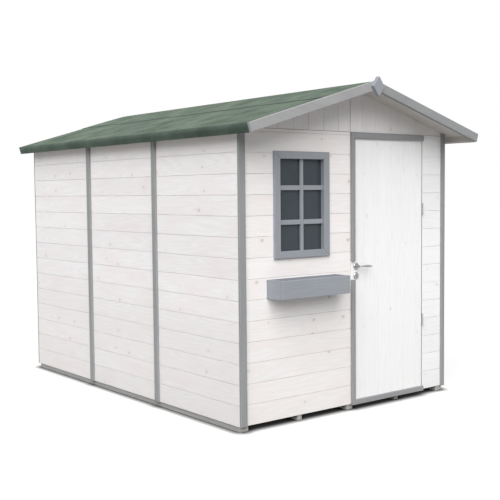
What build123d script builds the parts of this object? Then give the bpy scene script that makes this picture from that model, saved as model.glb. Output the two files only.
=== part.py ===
from build123d import *
import math
import os

# Garden shed of clad timber panels under a felted saddle roof, in millimetres.
# X runs along the front from left to right, Y from front to back, Z up from the ground.
# The origin is the middle of the footprint at ground level.

# Overall sizes
shed_width = 2000.0
shed_length = 2954.0
wall_height = 1962.0
roof_lift = 14.0
roof_rise_share = 0.296

# Floor
bearer_height = 35.0
bearer_inset = 10.0
edge_bearer_width = 66.0
middle_bearer_width = 38.0
joint_bearer_width = 28.0
floor_joint_shift = -5.0
middle_bearer_place_share = 0.48
deck_thickness = 18.0

# Wall panels and the frame behind them
cladding_thickness = 16.0
panel_gap = 2.0
stud_width = 28.0
joint_stud_width = 56.0
stud_depth = 40.0
plate_height = 28.0
rail_height = 26.0
panel_joint_shares = (-0.341, 0.319)
back_stud_shares = (-0.5, 0, 0.5)

# Strips over the corners and panel joints
strip_thickness = 16.0
left_corner_strip_width = 53.0
right_corner_strip_width = 36.0
cover_strip_width = 50.0
edge_ease = 2.0

# Roof
roof_board_thickness = 16.0
eave_overhang = 92.0
front_overhang = 229.0
back_overhang = 106.0
eaves_board_thickness = 20.0
eaves_board_height = 40.0
felt_thickness = 3.0
felt_fold_radius = 6.0
ridge_cap_run = 480.0
beam_width = 45.0
ridge_beam_height = 80.0
purlin_height = 70.0
purlin_place_share = 0.5
barge_thickness = 25.0
barge_width = 61.0
finial_width = 108.0
finial_height = 130.0
finial_thickness = 24.0
finial_tip_width = 10.0
finial_drop = 35.0

# Window in the front wall and the box below it
window_width = 492.0
window_height = 709.0
window_head_drop = 144.0
window_side_gap = 215.0
casing_width = 51.0
casing_foot_width = 47.0
casing_thickness = 18.0
sash_width = 22.0
sash_depth = 30.0
glass_thickness = 4.0
glass_setback = 16.0
box_width = 612.0
box_depth = 155.0
box_height = 122.0
box_board_thickness = 18.0
box_drop = 132.0

# Door
door_gap = 6.0
hinge_panel_width = 230.0
leaf_proud = 5.0
ledge_thickness = 20.0
ledge_height = 110.0
ledge_inset = 9.0
ledge_place_shares = (0.1, 0.9)
door_strip_thickness = 20.0
latch_strip_width = 30.0
latch_strip_lap = 9.0
head_strip_height = 41.0
foot_strip_height = 36.0
cross_strip_round = 14.0
foot_strip_drop = 4.0

# Hinges
hinge_height = 90.0
lower_hinge_rise = 532.0
upper_hinge_drop = 545.0
hinge_plate_thickness = 2.0
hinge_barrel_radius = 5.0
hinge_pin_radius = 2.5
hinge_stand = 6.0
hinge_play = 0.5

# Lever handle and lock
handle_height = 1020.0
keyhole_drop = 68.0
lock_setback = 40.0
rose_radius = 25.0
rose_thickness = 8.0
rose_bevel = 3.0
rose_margin = 25.0
keyhole_radius = 4.0
keyhole_slot_width = 4.0
keyhole_slot_drop = 11.0
keyhole_depth = 4.0
strip_gap_above = 13.0
strip_gap_below = 2.0
spindle_radius = 5.0
spindle_clearance = 0.6
neck_radius = 8.0
neck_bevel = 2.5
neck_gap = 1.0
lever_reach = 46.0
lever_length = 123.0
lever_root_radius = 6.5
lever_belly_radius = 8.5
lever_belly_share = 0.65
lever_tip_radius = 3.5

# Places worked out from the sizes
half_width = shed_width / 2
half_length = shed_length / 2
inner_half_width = half_width - cladding_thickness
inner_half_length = half_length - cladding_thickness
frame_half_width = inner_half_width - stud_depth
frame_half_length = inner_half_length - stud_depth
front_face = -half_length
deck_top = bearer_height + deck_thickness
sole_top = deck_top + plate_height
side_plate_foot = wall_height - plate_height
rail_top = wall_height + rail_height

slope_angle = math.atan(roof_rise_share)
slope_cos = math.cos(slope_angle)
slope_sin = math.sin(slope_angle)
slope_length = (half_width + eave_overhang) / slope_cos
ridge_height = wall_height + roof_lift + half_width * roof_rise_share + roof_board_thickness / slope_cos
roof_ys = (front_face - front_overhang, half_length + back_overhang)
fold_foot = -(roof_board_thickness + eaves_board_height)
barge_top = 2 * felt_thickness

window_middle = -window_side_gap - window_width / 2
window_foot_height = wall_height - window_head_drop - window_height
box_foot_height = window_foot_height - box_drop - box_height

hinge_side = inner_half_width - hinge_panel_width
leaf_left = door_gap
leaf_right = hinge_side - door_gap
leaf_front = front_face - leaf_proud
leaf_back = leaf_front + cladding_thickness
leaf_foot = bearer_height + door_gap
leaf_top = wall_height - door_gap
ledge_back = leaf_back + ledge_thickness
hinge_axis_x = leaf_right + door_gap / 2
hinge_axis_y = leaf_front - hinge_stand
hinge_middles = (leaf_foot + lower_hinge_rise, leaf_top - upper_hinge_drop)
lock_x = leaf_left + lock_setback
keyhole_height = handle_height - keyhole_drop

outward_front = Axis((0, 0, 0), (0, -1, 0))
outward_back = Axis((0, 0, 0), (0, 1, 0))


# Helpers

def board(xs, ys, zs):
    """Plain board between two X, two Y and two Z values."""
    sizes = [high - low for low, high in (xs, ys, zs)]
    return Pos(xs[0], ys[0], zs[0]) * Box(*sizes, align=(Align.MIN, Align.MIN, Align.MIN))


def prism_along_y(outline, ys):
    """Run a flat outline, drawn with X across and Z up, from one Y to another."""
    return extrude(Plane.XZ.offset(-ys[1]) * outline, amount=ys[1] - ys[0])


def profile_along_y(points, ys):
    """Run a straight-sided outline of X and Z points from one Y to another."""
    return prism_along_y(make_face(Polyline(*points, close=True)), ys)


def disc_along_y(middle, radius, ys):
    """Round piece about an axis along Y through a middle in X and Z."""
    return prism_along_y(Pos(*middle) * Circle(radius), ys)


def upright(middle, radius, zs):
    """Round piece about an upright axis through a middle in X and Y."""
    stand = (Align.CENTER, Align.CENTER, Align.MIN)
    return Pos(*middle, zs[0]) * Cylinder(radius, zs[1] - zs[0], align=stand)


def soften(piece, outward):
    """Take the sharp edge off the face that shows."""
    return chamfer(piece.faces().sort_by(outward)[-1].edges(), edge_ease)


def around(middle, width):
    """Low and high value of a width about its middle."""
    return (middle - width / 2, middle + width / 2)


def soffit(x):
    """Height of the underside of the roof boards at a distance from the ridge line."""
    return ridge_height - abs(x) * roof_rise_share - roof_board_thickness / slope_cos


def slope_point(side, along, off):
    """X and Z of a place on one slope, down it from the ridge and off the top of its boards."""
    x = side * (along * slope_cos + off * slope_sin)
    return (x, ridge_height - along * slope_sin + off * slope_cos)


def ridge_point(off):
    """X and Z at the ridge of a layer that lies off the top of the boards."""
    return (0, ridge_height + off / slope_cos)


def slope_layer(side, offs, along, ys):
    """Layer of one slope from the ridge down, with its lower end cut square to the slope."""
    low, high = offs
    points = [ridge_point(low), ridge_point(high)]
    points += [slope_point(side, along, high), slope_point(side, along, low)]
    return profile_along_y(points, ys)


def under_roof(xs, ys, foot):
    """Upright piece with its top cut to lie under the roof boards."""
    low, high = xs
    return profile_along_y([(low, foot), (high, foot), (high, soffit(high)), (low, soffit(low))], ys)


# Floor

def floor_bearers():
    """Bearers from front to back: one at each edge, one under each half and a pair at the joint."""
    edge = half_width - bearer_inset - edge_bearer_width / 2
    middle = half_width * middle_bearer_place_share
    joint = (panel_gap + joint_bearer_width) / 2
    ys = around(0, shed_length - 2 * bearer_inset)
    bearers = []
    for side in (-1, 1):
        spans = [
            around(side * edge, edge_bearer_width),
            around(side * middle, middle_bearer_width),
            around(floor_joint_shift + side * joint, joint_bearer_width),
        ]
        bearers += [board(xs, ys, (0, bearer_height)) for xs in spans]
    return bearers


def floor_deck():
    """Two floor panels that meet over the pair of bearers."""
    ys = (-inner_half_length, inner_half_length)
    zs = (bearer_height, deck_top)
    joint_low, joint_high = around(floor_joint_shift, panel_gap)
    return [board(xs, ys, zs) for xs in ((-inner_half_width, joint_low), (joint_high, inner_half_width))]


# Walls

def side_panels(side):
    """Front, middle and rear cladding of one side wall, bevelled under the roof."""
    joints = [half_length * share for share in panel_joint_shares]
    starts = [-half_length] + [joint + panel_gap / 2 for joint in joints]
    ends = [joint - panel_gap / 2 for joint in joints] + [half_length]
    xs = sorted((side * inner_half_width, side * half_width))
    return [under_roof(xs, ys, bearer_height) for ys in zip(starts, ends)]


def window_opening(margin):
    """X and Z spans inside the window casing, widened by a margin."""
    low, high = around(window_middle, window_width - 2 * casing_width + 2 * margin)
    foot = window_foot_height + casing_foot_width - margin
    head = window_foot_height + window_height - casing_width + margin
    return (low, high), (foot, head)


def front_window_panel():
    """Front cladding left of the door, with the window cut through."""
    ys = (front_face, -inner_half_length)
    panel = board((-inner_half_width, 0), ys, (bearer_height, wall_height))
    xs, zs = window_opening(sash_width)
    return panel - board(xs, ys, zs)


def front_hinge_panel():
    """Narrow front cladding on the hinge side of the door."""
    ys = (front_face, -inner_half_length)
    return board((hinge_side, inner_half_width), ys, (bearer_height, wall_height))


def gable_panels(ys):
    """Two halves of a gable over the wall panels."""
    xs_left = (-inner_half_width, -panel_gap / 2)
    xs_right = (panel_gap / 2, inner_half_width)
    return [under_roof(xs, ys, wall_height) for xs in (xs_left, xs_right)]


def back_wall_panels():
    """Two halves of the back cladding."""
    xs_left = (-inner_half_width, -panel_gap / 2)
    xs_right = (panel_gap / 2, inner_half_width)
    ys = (inner_half_length, half_length)
    return [board(xs, ys, (bearer_height, wall_height)) for xs in (xs_left, xs_right)]


def wall_frame_ys():
    """Y spans of the front and the back wall's frame."""
    return (-inner_half_length, -frame_half_length), (frame_half_length, inner_half_length)


def side_studs():
    """Studs at the corners and panel joints of both side walls."""
    corner = inner_half_length - stud_width / 2
    places = [(-corner, stud_width), (corner, stud_width)]
    places += [(half_length * share, joint_stud_width) for share in panel_joint_shares]
    zs = (sole_top, side_plate_foot)
    return [
        board(sorted((side * frame_half_width, side * inner_half_width)), around(y, width), zs)
        for side in (-1, 1)
        for y, width in places
    ]


def front_studs():
    """Studs beside the window and beside the doorway."""
    (window_low, window_high), _ = window_opening(sash_width)
    ys, _ = wall_frame_ys()
    lefts = (window_low - stud_width, window_high, -stud_width, hinge_side)
    return [board((left, left + stud_width), ys, (sole_top, wall_height)) for left in lefts]


def back_studs():
    """Evenly spaced studs of the back wall."""
    _, ys = wall_frame_ys()
    xs = [frame_half_width * share for share in back_stud_shares]
    return [board(around(x, joint_stud_width), ys, (sole_top, wall_height)) for x in xs]


def gable_posts():
    """Short posts on the gable rails that carry the ridge beam and the purlins."""
    purlin = frame_half_width * purlin_place_share
    feet = {0: soffit(0) - ridge_beam_height, purlin: soffit(purlin) - purlin_height}
    feet[-purlin] = feet[purlin]
    return [
        board(around(x, stud_width), ys, (rail_top, head))
        for ys in wall_frame_ys()
        for x, head in feet.items()
    ]


def wall_plates():
    """Sole plates on the deck and bevelled plates at the head of the side walls."""
    zs = (deck_top, sole_top)
    side_ys = (-inner_half_length, inner_half_length)
    front_ys, back_ys = wall_frame_ys()
    plates = [
        board((-frame_half_width, 0), front_ys, zs),
        board((hinge_side, frame_half_width), front_ys, zs),
        board((-frame_half_width, frame_half_width), back_ys, zs),
    ]
    for side in (-1, 1):
        xs = sorted((side * frame_half_width, side * inner_half_width))
        plates.append(board(xs, side_ys, zs))
        plates.append(under_roof(xs, side_ys, side_plate_foot))
    return plates


def gable_rails():
    """Rails behind the foot of each gable, the front one over the doorway."""
    xs = (-frame_half_width, frame_half_width)
    return [board(xs, ys, (wall_height, rail_top)) for ys in wall_frame_ys()]


# Strips

def corner_strips(ys, outward):
    """Strips that cover both corners of the front or the back wall."""
    xs_left = (-half_width, -half_width + left_corner_strip_width)
    xs_right = (half_width - right_corner_strip_width, half_width)
    return [soften(under_roof(xs, ys, bearer_height), outward) for xs in (xs_left, xs_right)]


def back_joint_strip(ys):
    """Strip over the joint of the back panels, up to the gable."""
    strip = board(around(0, cover_strip_width), ys, (bearer_height, wall_height))
    return soften(strip, outward_back)


def side_cover_strips(side):
    """Strips over the panel joints of one side wall."""
    xs = sorted((side * half_width, side * (half_width + strip_thickness)))
    outward = Axis((0, 0, 0), (side, 0, 0))
    return [
        soften(under_roof(xs, around(half_length * share, cover_strip_width), bearer_height), outward)
        for share in panel_joint_shares
    ]


# Roof

def roof_beams():
    """Ridge beam and two purlins between the gables, planed to the slopes."""
    ys = (-inner_half_length, inner_half_length)
    low, high = around(0, beam_width)
    foot = soffit(0) - ridge_beam_height
    ridge = [(low, foot), (high, foot), (high, soffit(high)), (0, soffit(0)), (low, soffit(low))]
    purlin = frame_half_width * purlin_place_share
    purlins = [
        under_roof(around(side * purlin, beam_width), ys, soffit(purlin) - purlin_height)
        for side in (-1, 1)
    ]
    return [profile_along_y(ridge, ys)] + purlins


def eaves_board(side):
    """Board under the edge of the roof boards that the felt is folded over."""
    inner = slope_length - eaves_board_thickness
    points = [slope_point(side, along, -roof_board_thickness) for along in (inner, slope_length)]
    points += [slope_point(side, along, fold_foot) for along in (slope_length, inner)]
    return profile_along_y(points, roof_ys)


def back_edge_board(side):
    """Board under the back edge of one slope, plumb at the ridge, that the felt is folded over."""
    along = slope_length - eaves_board_thickness - panel_gap
    x = side * panel_gap / 2
    points = [(x, soffit(x) - eaves_board_height / slope_cos), (x, soffit(x))]
    points += [slope_point(side, along, off) for off in (-roof_board_thickness, fold_foot)]
    return profile_along_y(points, (roof_ys[1] - eaves_board_thickness, roof_ys[1]))


def felt_sheet(points, bends, ys):
    """Run an outline of felt from one Y to another, with its outer bends rounded."""
    outline = make_face(Polyline(*points, close=True))
    corners = [outline.vertices().sort_by_distance(Vector(*bend))[0] for bend in bends]
    return prism_along_y(fillet(corners, felt_fold_radius), ys)


def felt_run(side):
    """Felt of one slope, folded down round the eave."""
    outer = slope_length + felt_thickness
    bend = slope_point(side, outer, felt_thickness)
    points = [ridge_point(0), ridge_point(felt_thickness), bend, slope_point(side, outer, fold_foot)]
    points += [slope_point(side, slope_length, fold_foot), slope_point(side, slope_length, 0)]
    return felt_sheet(points, [bend], roof_ys)


def felt_back_fold():
    """Felt of both slopes where it is turned down over the back edge."""
    outer = slope_length + felt_thickness
    left_bend, right_bend = [slope_point(side, outer, felt_thickness) for side in (-1, 1)]
    points = [slope_point(-1, outer, fold_foot), left_bend, ridge_point(felt_thickness), right_bend]
    points += [slope_point(1, outer, fold_foot), ridge_point(fold_foot)]
    return felt_sheet(points, [left_bend, right_bend], (roof_ys[1], roof_ys[1] + felt_thickness))


def felt_ridge_cap():
    """Run of felt laid over the ridge on top of the two lower runs."""
    low = felt_thickness
    high = 2 * felt_thickness
    points = [slope_point(-1, ridge_cap_run, low), slope_point(-1, ridge_cap_run, high), ridge_point(high)]
    points += [slope_point(1, ridge_cap_run, high), slope_point(1, ridge_cap_run, low), ridge_point(low)]
    return profile_along_y(points, (roof_ys[0], roof_ys[1] + felt_thickness))


def bargeboard(side):
    """Sloping board over the front of one slope, plumb at the ridge and square at its foot."""
    along = slope_length + felt_thickness
    ys = (roof_ys[0] - barge_thickness, roof_ys[0])
    return soften(slope_layer(side, (barge_top - barge_width, barge_top), along, ys), outward_front)


def finial():
    """Diamond plate over the joint of the front bargeboards, with its tips blunted."""
    middle = ridge_height - finial_drop
    low, high = around(middle, finial_height)
    side = finial_width / 2
    tip = finial_tip_width / 2
    points = [(-tip, high), (tip, high), (side, middle), (tip, low), (-tip, low), (-side, middle)]
    back = roof_ys[0] - barge_thickness
    return soften(profile_along_y(points, (back - finial_thickness, back)), outward_front)


# Window and box

def casing_boards():
    """Mitred boards round the window: the two upright ones, then the head and the foot."""
    xs, zs = window_opening(0)
    left, right = around(window_middle, window_width)
    foot, head = window_foot_height, window_foot_height + window_height
    inner = [(xs[0], zs[0]), (xs[1], zs[0]), (xs[1], zs[1]), (xs[0], zs[1])]
    outer = [(left, foot), (right, foot), (right, head), (left, head)]
    ys = (front_face - casing_thickness, front_face)
    boards = []
    for start, end in ((3, 0), (1, 2), (2, 3), (0, 1)):
        points = [outer[start], outer[end], inner[end], inner[start]]
        boards.append(soften(profile_along_y(points, ys), outward_front))
    return boards


def window_sash():
    """Frame that holds the glass in the opening."""
    ys = (front_face, front_face + sash_depth)
    outer_xs, outer_zs = window_opening(sash_width)
    inner_xs, inner_zs = window_opening(0)
    return board(outer_xs, ys, outer_zs) - board(inner_xs, ys, inner_zs)


def window_glass():
    """One sheet of glass inside the sash."""
    xs, zs = window_opening(0)
    front = front_face + glass_setback
    return board(xs, (front, front + glass_thickness), zs)


def window_box():
    """Long boards, ends and floor of the box under the window."""
    thick = box_board_thickness
    xs = around(window_middle, box_width)
    inner_xs = around(window_middle, box_width - 2 * thick)
    front = front_face - box_depth
    zs = (box_foot_height, box_foot_height + box_height)
    between = (front + thick, front_face - thick)
    front_board = soften(board(xs, (front, front + thick), zs), outward_front)
    back_board = board(xs, (front_face - thick, front_face), zs)
    ends = [board(span, between, zs) for span in ((xs[0], inner_xs[0]), (inner_xs[1], xs[1]))]
    floor = board(inner_xs, between, (box_foot_height, box_foot_height + thick))
    return [front_board, back_board], ends, floor


# Door

def spindle_hole(ys):
    """Hole for the handle's spindle."""
    return disc_along_y((lock_x, handle_height), spindle_radius + spindle_clearance, ys)


def door_leaf():
    """Boarded leaf of the door."""
    ys = (leaf_front, leaf_back)
    return board((leaf_left, leaf_right), ys, (leaf_foot, leaf_top)) - spindle_hole(ys)


def door_ledges():
    """Boards across the inside of the leaf, the middle one behind the lock."""
    xs = (leaf_left + ledge_inset, leaf_right - ledge_inset)
    ys = (leaf_back, ledge_back)
    lock_middle = (handle_height + keyhole_height) / 2
    middles = [leaf_foot + (leaf_top - leaf_foot) * share for share in ledge_place_shares]
    ledges = [board(xs, ys, around(middle, ledge_height)) for middle in middles]
    lock_ledge_height = keyhole_drop + 2 * (rose_radius + rose_margin)
    ledges.append(board(xs, ys, around(lock_middle, lock_ledge_height)) - spindle_hole(ys))
    return [soften(ledge, outward_back) for ledge in ledges]


def latch_strip():
    """Strip down the latch side, cut away round the lock."""
    left = leaf_left - latch_strip_lap
    xs = (left, left + latch_strip_width)
    ys = (leaf_front - door_strip_thickness, leaf_front)
    below = (bearer_height - foot_strip_drop, keyhole_height - rose_radius - strip_gap_below)
    above = (handle_height + rose_radius + strip_gap_above, wall_height)
    return [soften(board(xs, ys, zs), outward_front) for zs in (below, above)]


def cross_strips():
    """Strips across the head and the foot of the door, the upper one rounded at its free end."""
    xs = (leaf_left - latch_strip_lap + latch_strip_width, leaf_right)
    ys = (leaf_front - door_strip_thickness, leaf_front)
    foot = bearer_height - foot_strip_drop
    head_strip = board(xs, ys, (wall_height - head_strip_height, wall_height))
    corner = head_strip.edges().filter_by(Axis.Y).group_by(Axis.Z)[-1].sort_by(Axis.X)[-1]
    head_strip = fillet(corner, cross_strip_round)
    foot_strip = board(xs, ys, (foot, foot + foot_strip_height))
    return [soften(strip, outward_front) for strip in (head_strip, foot_strip)]


# Hinges

def hinge_knuckles(middle):
    """Z spans of the lower, middle and upper knuckle of one hinge."""
    low, high = around(middle, hinge_height)
    third = hinge_height / 3
    marks = (low, low + third, high - third, high)
    gap = hinge_play / 2
    return [(marks[0], marks[1] - gap), (marks[1] + gap, marks[2] - gap), (marks[2] + gap, marks[3])]


def hinge_plate(xs, middle, tabs):
    """Plate in the gap beside the leaf, with tabs out to its own knuckles."""
    plate_ys = (hinge_axis_y + hinge_stand, leaf_back)
    plate = board(xs, plate_ys, around(middle, hinge_height))
    for zs in tabs:
        plate += board(xs, (hinge_axis_y, plate_ys[0]), zs)
    return plate


def door_hinge_leaf(middle):
    """Door half of a hinge, with the middle knuckle bored for the pin."""
    knuckle = hinge_knuckles(middle)[1]
    axis = (hinge_axis_x, hinge_axis_y)
    plate = hinge_plate((leaf_right, leaf_right + hinge_plate_thickness), middle, [knuckle])
    barrel = upright(axis, hinge_barrel_radius, knuckle)
    return plate + barrel - upright(axis, hinge_pin_radius + hinge_play, knuckle)


def wall_hinge_leaf(middle):
    """Wall half of a hinge, with the outer knuckles and the pin."""
    knuckles = hinge_knuckles(middle)
    outer = [knuckles[0], knuckles[2]]
    axis = (hinge_axis_x, hinge_axis_y)
    half = hinge_plate((hinge_side - hinge_plate_thickness, hinge_side), middle, outer)
    for zs in outer:
        half += upright(axis, hinge_barrel_radius, zs)
    return half + upright(axis, hinge_pin_radius, around(middle, hinge_height))


# Lock and handle

def rose(height, ys, outward):
    """Round plate with a bevelled rim."""
    plate = disc_along_y((lock_x, height), rose_radius, ys)
    return chamfer(plate.faces().sort_by(outward)[-1].edges(), rose_bevel)


def keyhole(ys):
    """Keyhole: a round hole with a slot below it."""
    hole = disc_along_y((lock_x, keyhole_height), keyhole_radius, ys)
    slot_zs = (keyhole_height - keyhole_slot_drop, keyhole_height)
    return hole + board(around(lock_x, keyhole_slot_width), ys, slot_zs)


def lock_roses():
    """Handle rose and keyhole rose outside and inside the door."""
    outer_ys = (leaf_front - rose_thickness, leaf_front)
    inner_ys = (ledge_back, ledge_back + rose_thickness)
    outer_keyhole = keyhole((outer_ys[0], outer_ys[0] + keyhole_depth))
    inner_keyhole = keyhole((inner_ys[1] - keyhole_depth, inner_ys[1]))
    return [
        rose(handle_height, outer_ys, outward_front) - spindle_hole(outer_ys),
        rose(keyhole_height, outer_ys, outward_front) - outer_keyhole,
        rose(handle_height, inner_ys, outward_back) - spindle_hole(inner_ys),
        rose(keyhole_height, inner_ys, outward_back) - inner_keyhole,
    ]


def lever_arm():
    """Tapered grip turned about its own length, swelling towards its free end."""
    belly = (lever_length * lever_belly_share, lever_belly_radius)
    tip = (lever_length, lever_tip_radius)
    outline = Polyline((0, 0), (0, lever_root_radius), belly, tip, (lever_length, 0), close=True)
    return revolve(make_face(outline), Axis.X)


def lever_neck(ys, outward):
    """Round neck between a rose and its grip, bevelled at the outer end."""
    neck = disc_along_y((lock_x, handle_height), neck_radius, ys)
    return chamfer(neck.faces().sort_by(outward)[-1].edges(), neck_bevel)


def handle_lever():
    """Levers outside and inside the door on one round spindle."""
    outer = leaf_front - lever_reach
    inner = ledge_back + lever_reach
    outer_neck = (outer - neck_radius, leaf_front - rose_thickness - neck_gap)
    inner_neck = (ledge_back + rose_thickness + neck_gap, inner + neck_radius)
    lever = disc_along_y((lock_x, handle_height), spindle_radius, (outer, inner))
    lever += lever_neck(outer_neck, outward_front)
    lever += lever_neck(inner_neck, outward_back)
    for y in (outer, inner):
        lever += Pos(lock_x, y, handle_height) * lever_arm()
    return lever


# Assembly

def named_pieces():
    """Every named piece of the shed with its solids."""
    pieces = {"floor_bearers": floor_bearers(), "floor_deck": floor_deck()}
    for side, hand in ((-1, "left"), (1, "right")):
        for panel, place in zip(side_panels(side), ("front", "middle", "rear")):
            pieces[f"{hand}_wall_{place}_panel"] = [panel]
        pieces[f"{hand}_wall_cover_strips"] = side_cover_strips(side)
        pieces[f"roof_deck_{hand}"] = [slope_layer(side, (-roof_board_thickness, 0), slope_length, roof_ys)]
        pieces[f"felt_{hand}"] = [felt_run(side)]
        pieces[f"bargeboard_{hand}"] = [bargeboard(side)]
    pieces["front_window_panel"] = [front_window_panel()]
    pieces["front_hinge_panel"] = [front_hinge_panel()]
    pieces["front_gable_panels"] = gable_panels((front_face, -inner_half_length))
    pieces["back_wall_panels"] = back_wall_panels()
    pieces["back_gable_panels"] = gable_panels((inner_half_length, half_length))
    pieces["wall_studs"] = side_studs() + front_studs() + back_studs() + gable_posts()
    pieces["wall_plates"] = wall_plates()
    pieces["gable_rails"] = gable_rails()
    front_strip_ys = (front_face - strip_thickness, front_face)
    back_strip_ys = (half_length, half_length + strip_thickness)
    pieces["front_corner_strips"] = corner_strips(front_strip_ys, outward_front)
    back_strips = corner_strips(back_strip_ys, outward_back)
    pieces["back_wall_strips"] = back_strips + [back_joint_strip(back_strip_ys)]
    pieces["roof_beams"] = roof_beams()
    pieces["roof_edge_boards"] = [edge(side) for edge in (eaves_board, back_edge_board) for side in (-1, 1)]
    pieces["felt_ridge_cap"] = [felt_ridge_cap()]
    pieces["felt_back_fold"] = [felt_back_fold()]
    pieces["finial"] = [finial()]
    casing = casing_boards()
    pieces["window_casing_stiles"] = casing[:2]
    pieces["window_casing_rails"] = casing[2:]
    pieces["window_sash"] = [window_sash()]
    pieces["window_glass"] = [window_glass()]
    long_boards, ends, floor = window_box()
    pieces["window_box_long_boards"] = long_boards
    pieces["window_box_ends"] = ends
    pieces["window_box_floor"] = [floor]
    pieces["door_leaf"] = [door_leaf()]
    pieces["door_ledges"] = door_ledges()
    pieces["door_latch_strip"] = latch_strip()
    pieces["door_cross_strips"] = cross_strips()
    pieces["hinge_door_leaves"] = [door_hinge_leaf(middle) for middle in hinge_middles]
    pieces["hinge_wall_leaves"] = [wall_hinge_leaf(middle) for middle in hinge_middles]
    pieces["lock_roses"] = lock_roses()
    pieces["handle_lever"] = [handle_lever()]
    return pieces


os.makedirs("parts", exist_ok=True)
for name, solids in named_pieces().items():
    shape = solids[0] if len(solids) == 1 else Compound(children=solids)
    export_step(shape, os.path.join("parts", name + ".step"))
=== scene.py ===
import logging
import math
from dataclasses import asdict, dataclass, field, replace
from enum import Enum

import bmesh
import bpy
from mathutils import Matrix, Vector, noise


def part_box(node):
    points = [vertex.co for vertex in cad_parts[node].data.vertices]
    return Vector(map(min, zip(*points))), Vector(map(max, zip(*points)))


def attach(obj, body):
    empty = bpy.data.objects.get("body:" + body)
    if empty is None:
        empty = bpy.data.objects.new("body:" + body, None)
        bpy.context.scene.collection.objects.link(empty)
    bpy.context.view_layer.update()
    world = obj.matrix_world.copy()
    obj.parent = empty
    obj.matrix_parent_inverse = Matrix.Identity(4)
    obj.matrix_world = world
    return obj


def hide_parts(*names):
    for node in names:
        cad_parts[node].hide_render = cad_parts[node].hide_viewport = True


# Looks of a whitewashed timber garden shed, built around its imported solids.
# Lengths are in metres: X runs along the front, Y from the front to the back, Z up from the ground.

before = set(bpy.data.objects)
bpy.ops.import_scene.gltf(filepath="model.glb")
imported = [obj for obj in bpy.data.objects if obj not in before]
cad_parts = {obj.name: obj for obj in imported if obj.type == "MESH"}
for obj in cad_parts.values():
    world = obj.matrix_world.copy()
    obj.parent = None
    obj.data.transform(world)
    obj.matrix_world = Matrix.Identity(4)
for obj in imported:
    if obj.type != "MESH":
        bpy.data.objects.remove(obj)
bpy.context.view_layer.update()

log = logging.getLogger("garden_shed")

Tree = bpy.types.NodeTree
Node = bpy.types.Node
Socket = bpy.types.NodeSocket
Sockets = bpy.types.NodeOutputs
Material = bpy.types.Material
Piece = bpy.types.Object
Feed = Node | Socket | float | tuple
Span = tuple[float, float]
Triple = tuple[float, float, float]
Point = Vector | Triple

FAR = 100.0
QUARTER = math.pi / 2
TONE = "board_tone"
TRIM_LOW = "trim_low"
TRIM_HIGH = "trim_high"
FACING = "facing"
SCREW_GAP = 0.07

# Real sizes of the patterns in planed softwood
BOARD_COVER = 0.1361
KNOT_SPACING = 0.26
KNOT_LENGTH = 0.017
KNOT_WIDTH = 0.012
FIGURE_LENGTH = 1.2
FIGURE_WIDTH = 0.11
FIGURE_RINGS = 13
FIBRE_LENGTH = 0.17
FIBRE_WIDTH = 0.004
PATCH_LENGTH = 0.45
PATCH_WIDTH = 0.12
# Size of the patches and span of heights of the painted shade near the ground
GROUND_SHADE_PATCH = 0.25
GROUND_SHADE_SPAN = (0.2, 1.0)

# Shares of the same patterns: how knots differ and fade out, and which part of a noise shows
KNOT_SIZES = (0.35, 1.25)
KNOT_DEPTHS = (0.35, 1.0)
KNOT_HEART = (0.3, 1.2)
KNOT_RING = (0.8, 4.5)
RING_BEND = 0.16
RING_BLUSH = 0.8
STREAK_SPAN = (0.35, 0.75)
PATCH_SPAN = (0.4, 0.72)
SAWN_SPAN = (0.8, 0.95)
ROUGH_SPREAD = 0.08
WOOD_GLOSS = 0.3
WOOD_BUMP = 0.6
TONE_SHIFT = 23.0
# Grey of the painted shade near the ground
GROUND_SHADE_GREY = "#a39b94"

# Tongues of the boards, as a share of the thickness, and how far they lap into each board
TONGUE_SHARE = 0.34
TONGUE_LAP = 0.001


class Body(Enum):
    """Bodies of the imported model."""

    SHED = "shed"
    DOOR = "door"
    LEVER = "lever"


class Slot(Enum):
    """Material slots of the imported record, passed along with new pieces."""

    CLADDING = "whitewashed_cladding"
    TRIM = "grey_painted_trim"
    FRAME = "bare_frame_timber"
    FELT = "green_roof_felt"
    LOCK = "satin_lock_metal"
    HINGE = "hinge_steel"


class Grain(Enum):
    """Axis that the grain of a piece runs along."""

    ALONG_X = 0
    ALONG_Y = 1
    ALONG_Z = 2


class Hand(Enum):
    """Side of the ridge, as the sign of X."""

    LEFT = -1
    RIGHT = 1

    @property
    def label(self) -> str:
        """The side as it stands in names."""
        return self.name.lower()


def srgb(code: str) -> tuple[float, float, float, float]:
    """Turn an sRGB hex value to a linear colour.

    Args:
        code: Hex value such as #f2efee.

    Returns:
        Linear red, green and blue with an alpha of one.
    """
    values = [int(code[place:place + 2], 16) / 255 for place in (1, 3, 5)]
    linear = [v / 12.92 if v <= 0.04045 else ((v + 0.055) / 1.055) ** 2.4 for v in values]
    return (*linear, 1.0)


def add_node(tree: Tree, kind: str, links: dict | None = None, **settings: object) -> Node:
    """Add a node to a tree with its settings and what feeds it.

    Args:
        tree: Tree that takes the node.
        kind: Blender's name of the node's type.
        links: Input name or place to a value, a socket, or a node whose first output feeds it.
        **settings: Properties of the node.

    Returns:
        The new node.
    """
    node = tree.nodes.new(kind)
    for name, value in settings.items():
        setattr(node, name, value)
    for key, value in (links or {}).items():
        if isinstance(value, Node):
            value = value.outputs[0]
        if isinstance(value, Socket):
            tree.links.new(value, node.inputs[key])
        else:
            node.inputs[key].default_value = value
    return node


def maths(tree: Tree, operation: str, *feeds: Feed) -> Node:
    """Add a sum on numbers."""
    return add_node(tree, "ShaderNodeMath", dict(enumerate(feeds)), operation=operation)


def vectors(tree: Tree, operation: str, *feeds: Feed) -> Node:
    """Add a sum on vectors."""
    return add_node(tree, "ShaderNodeVectorMath", dict(enumerate(feeds)), operation=operation)


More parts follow.
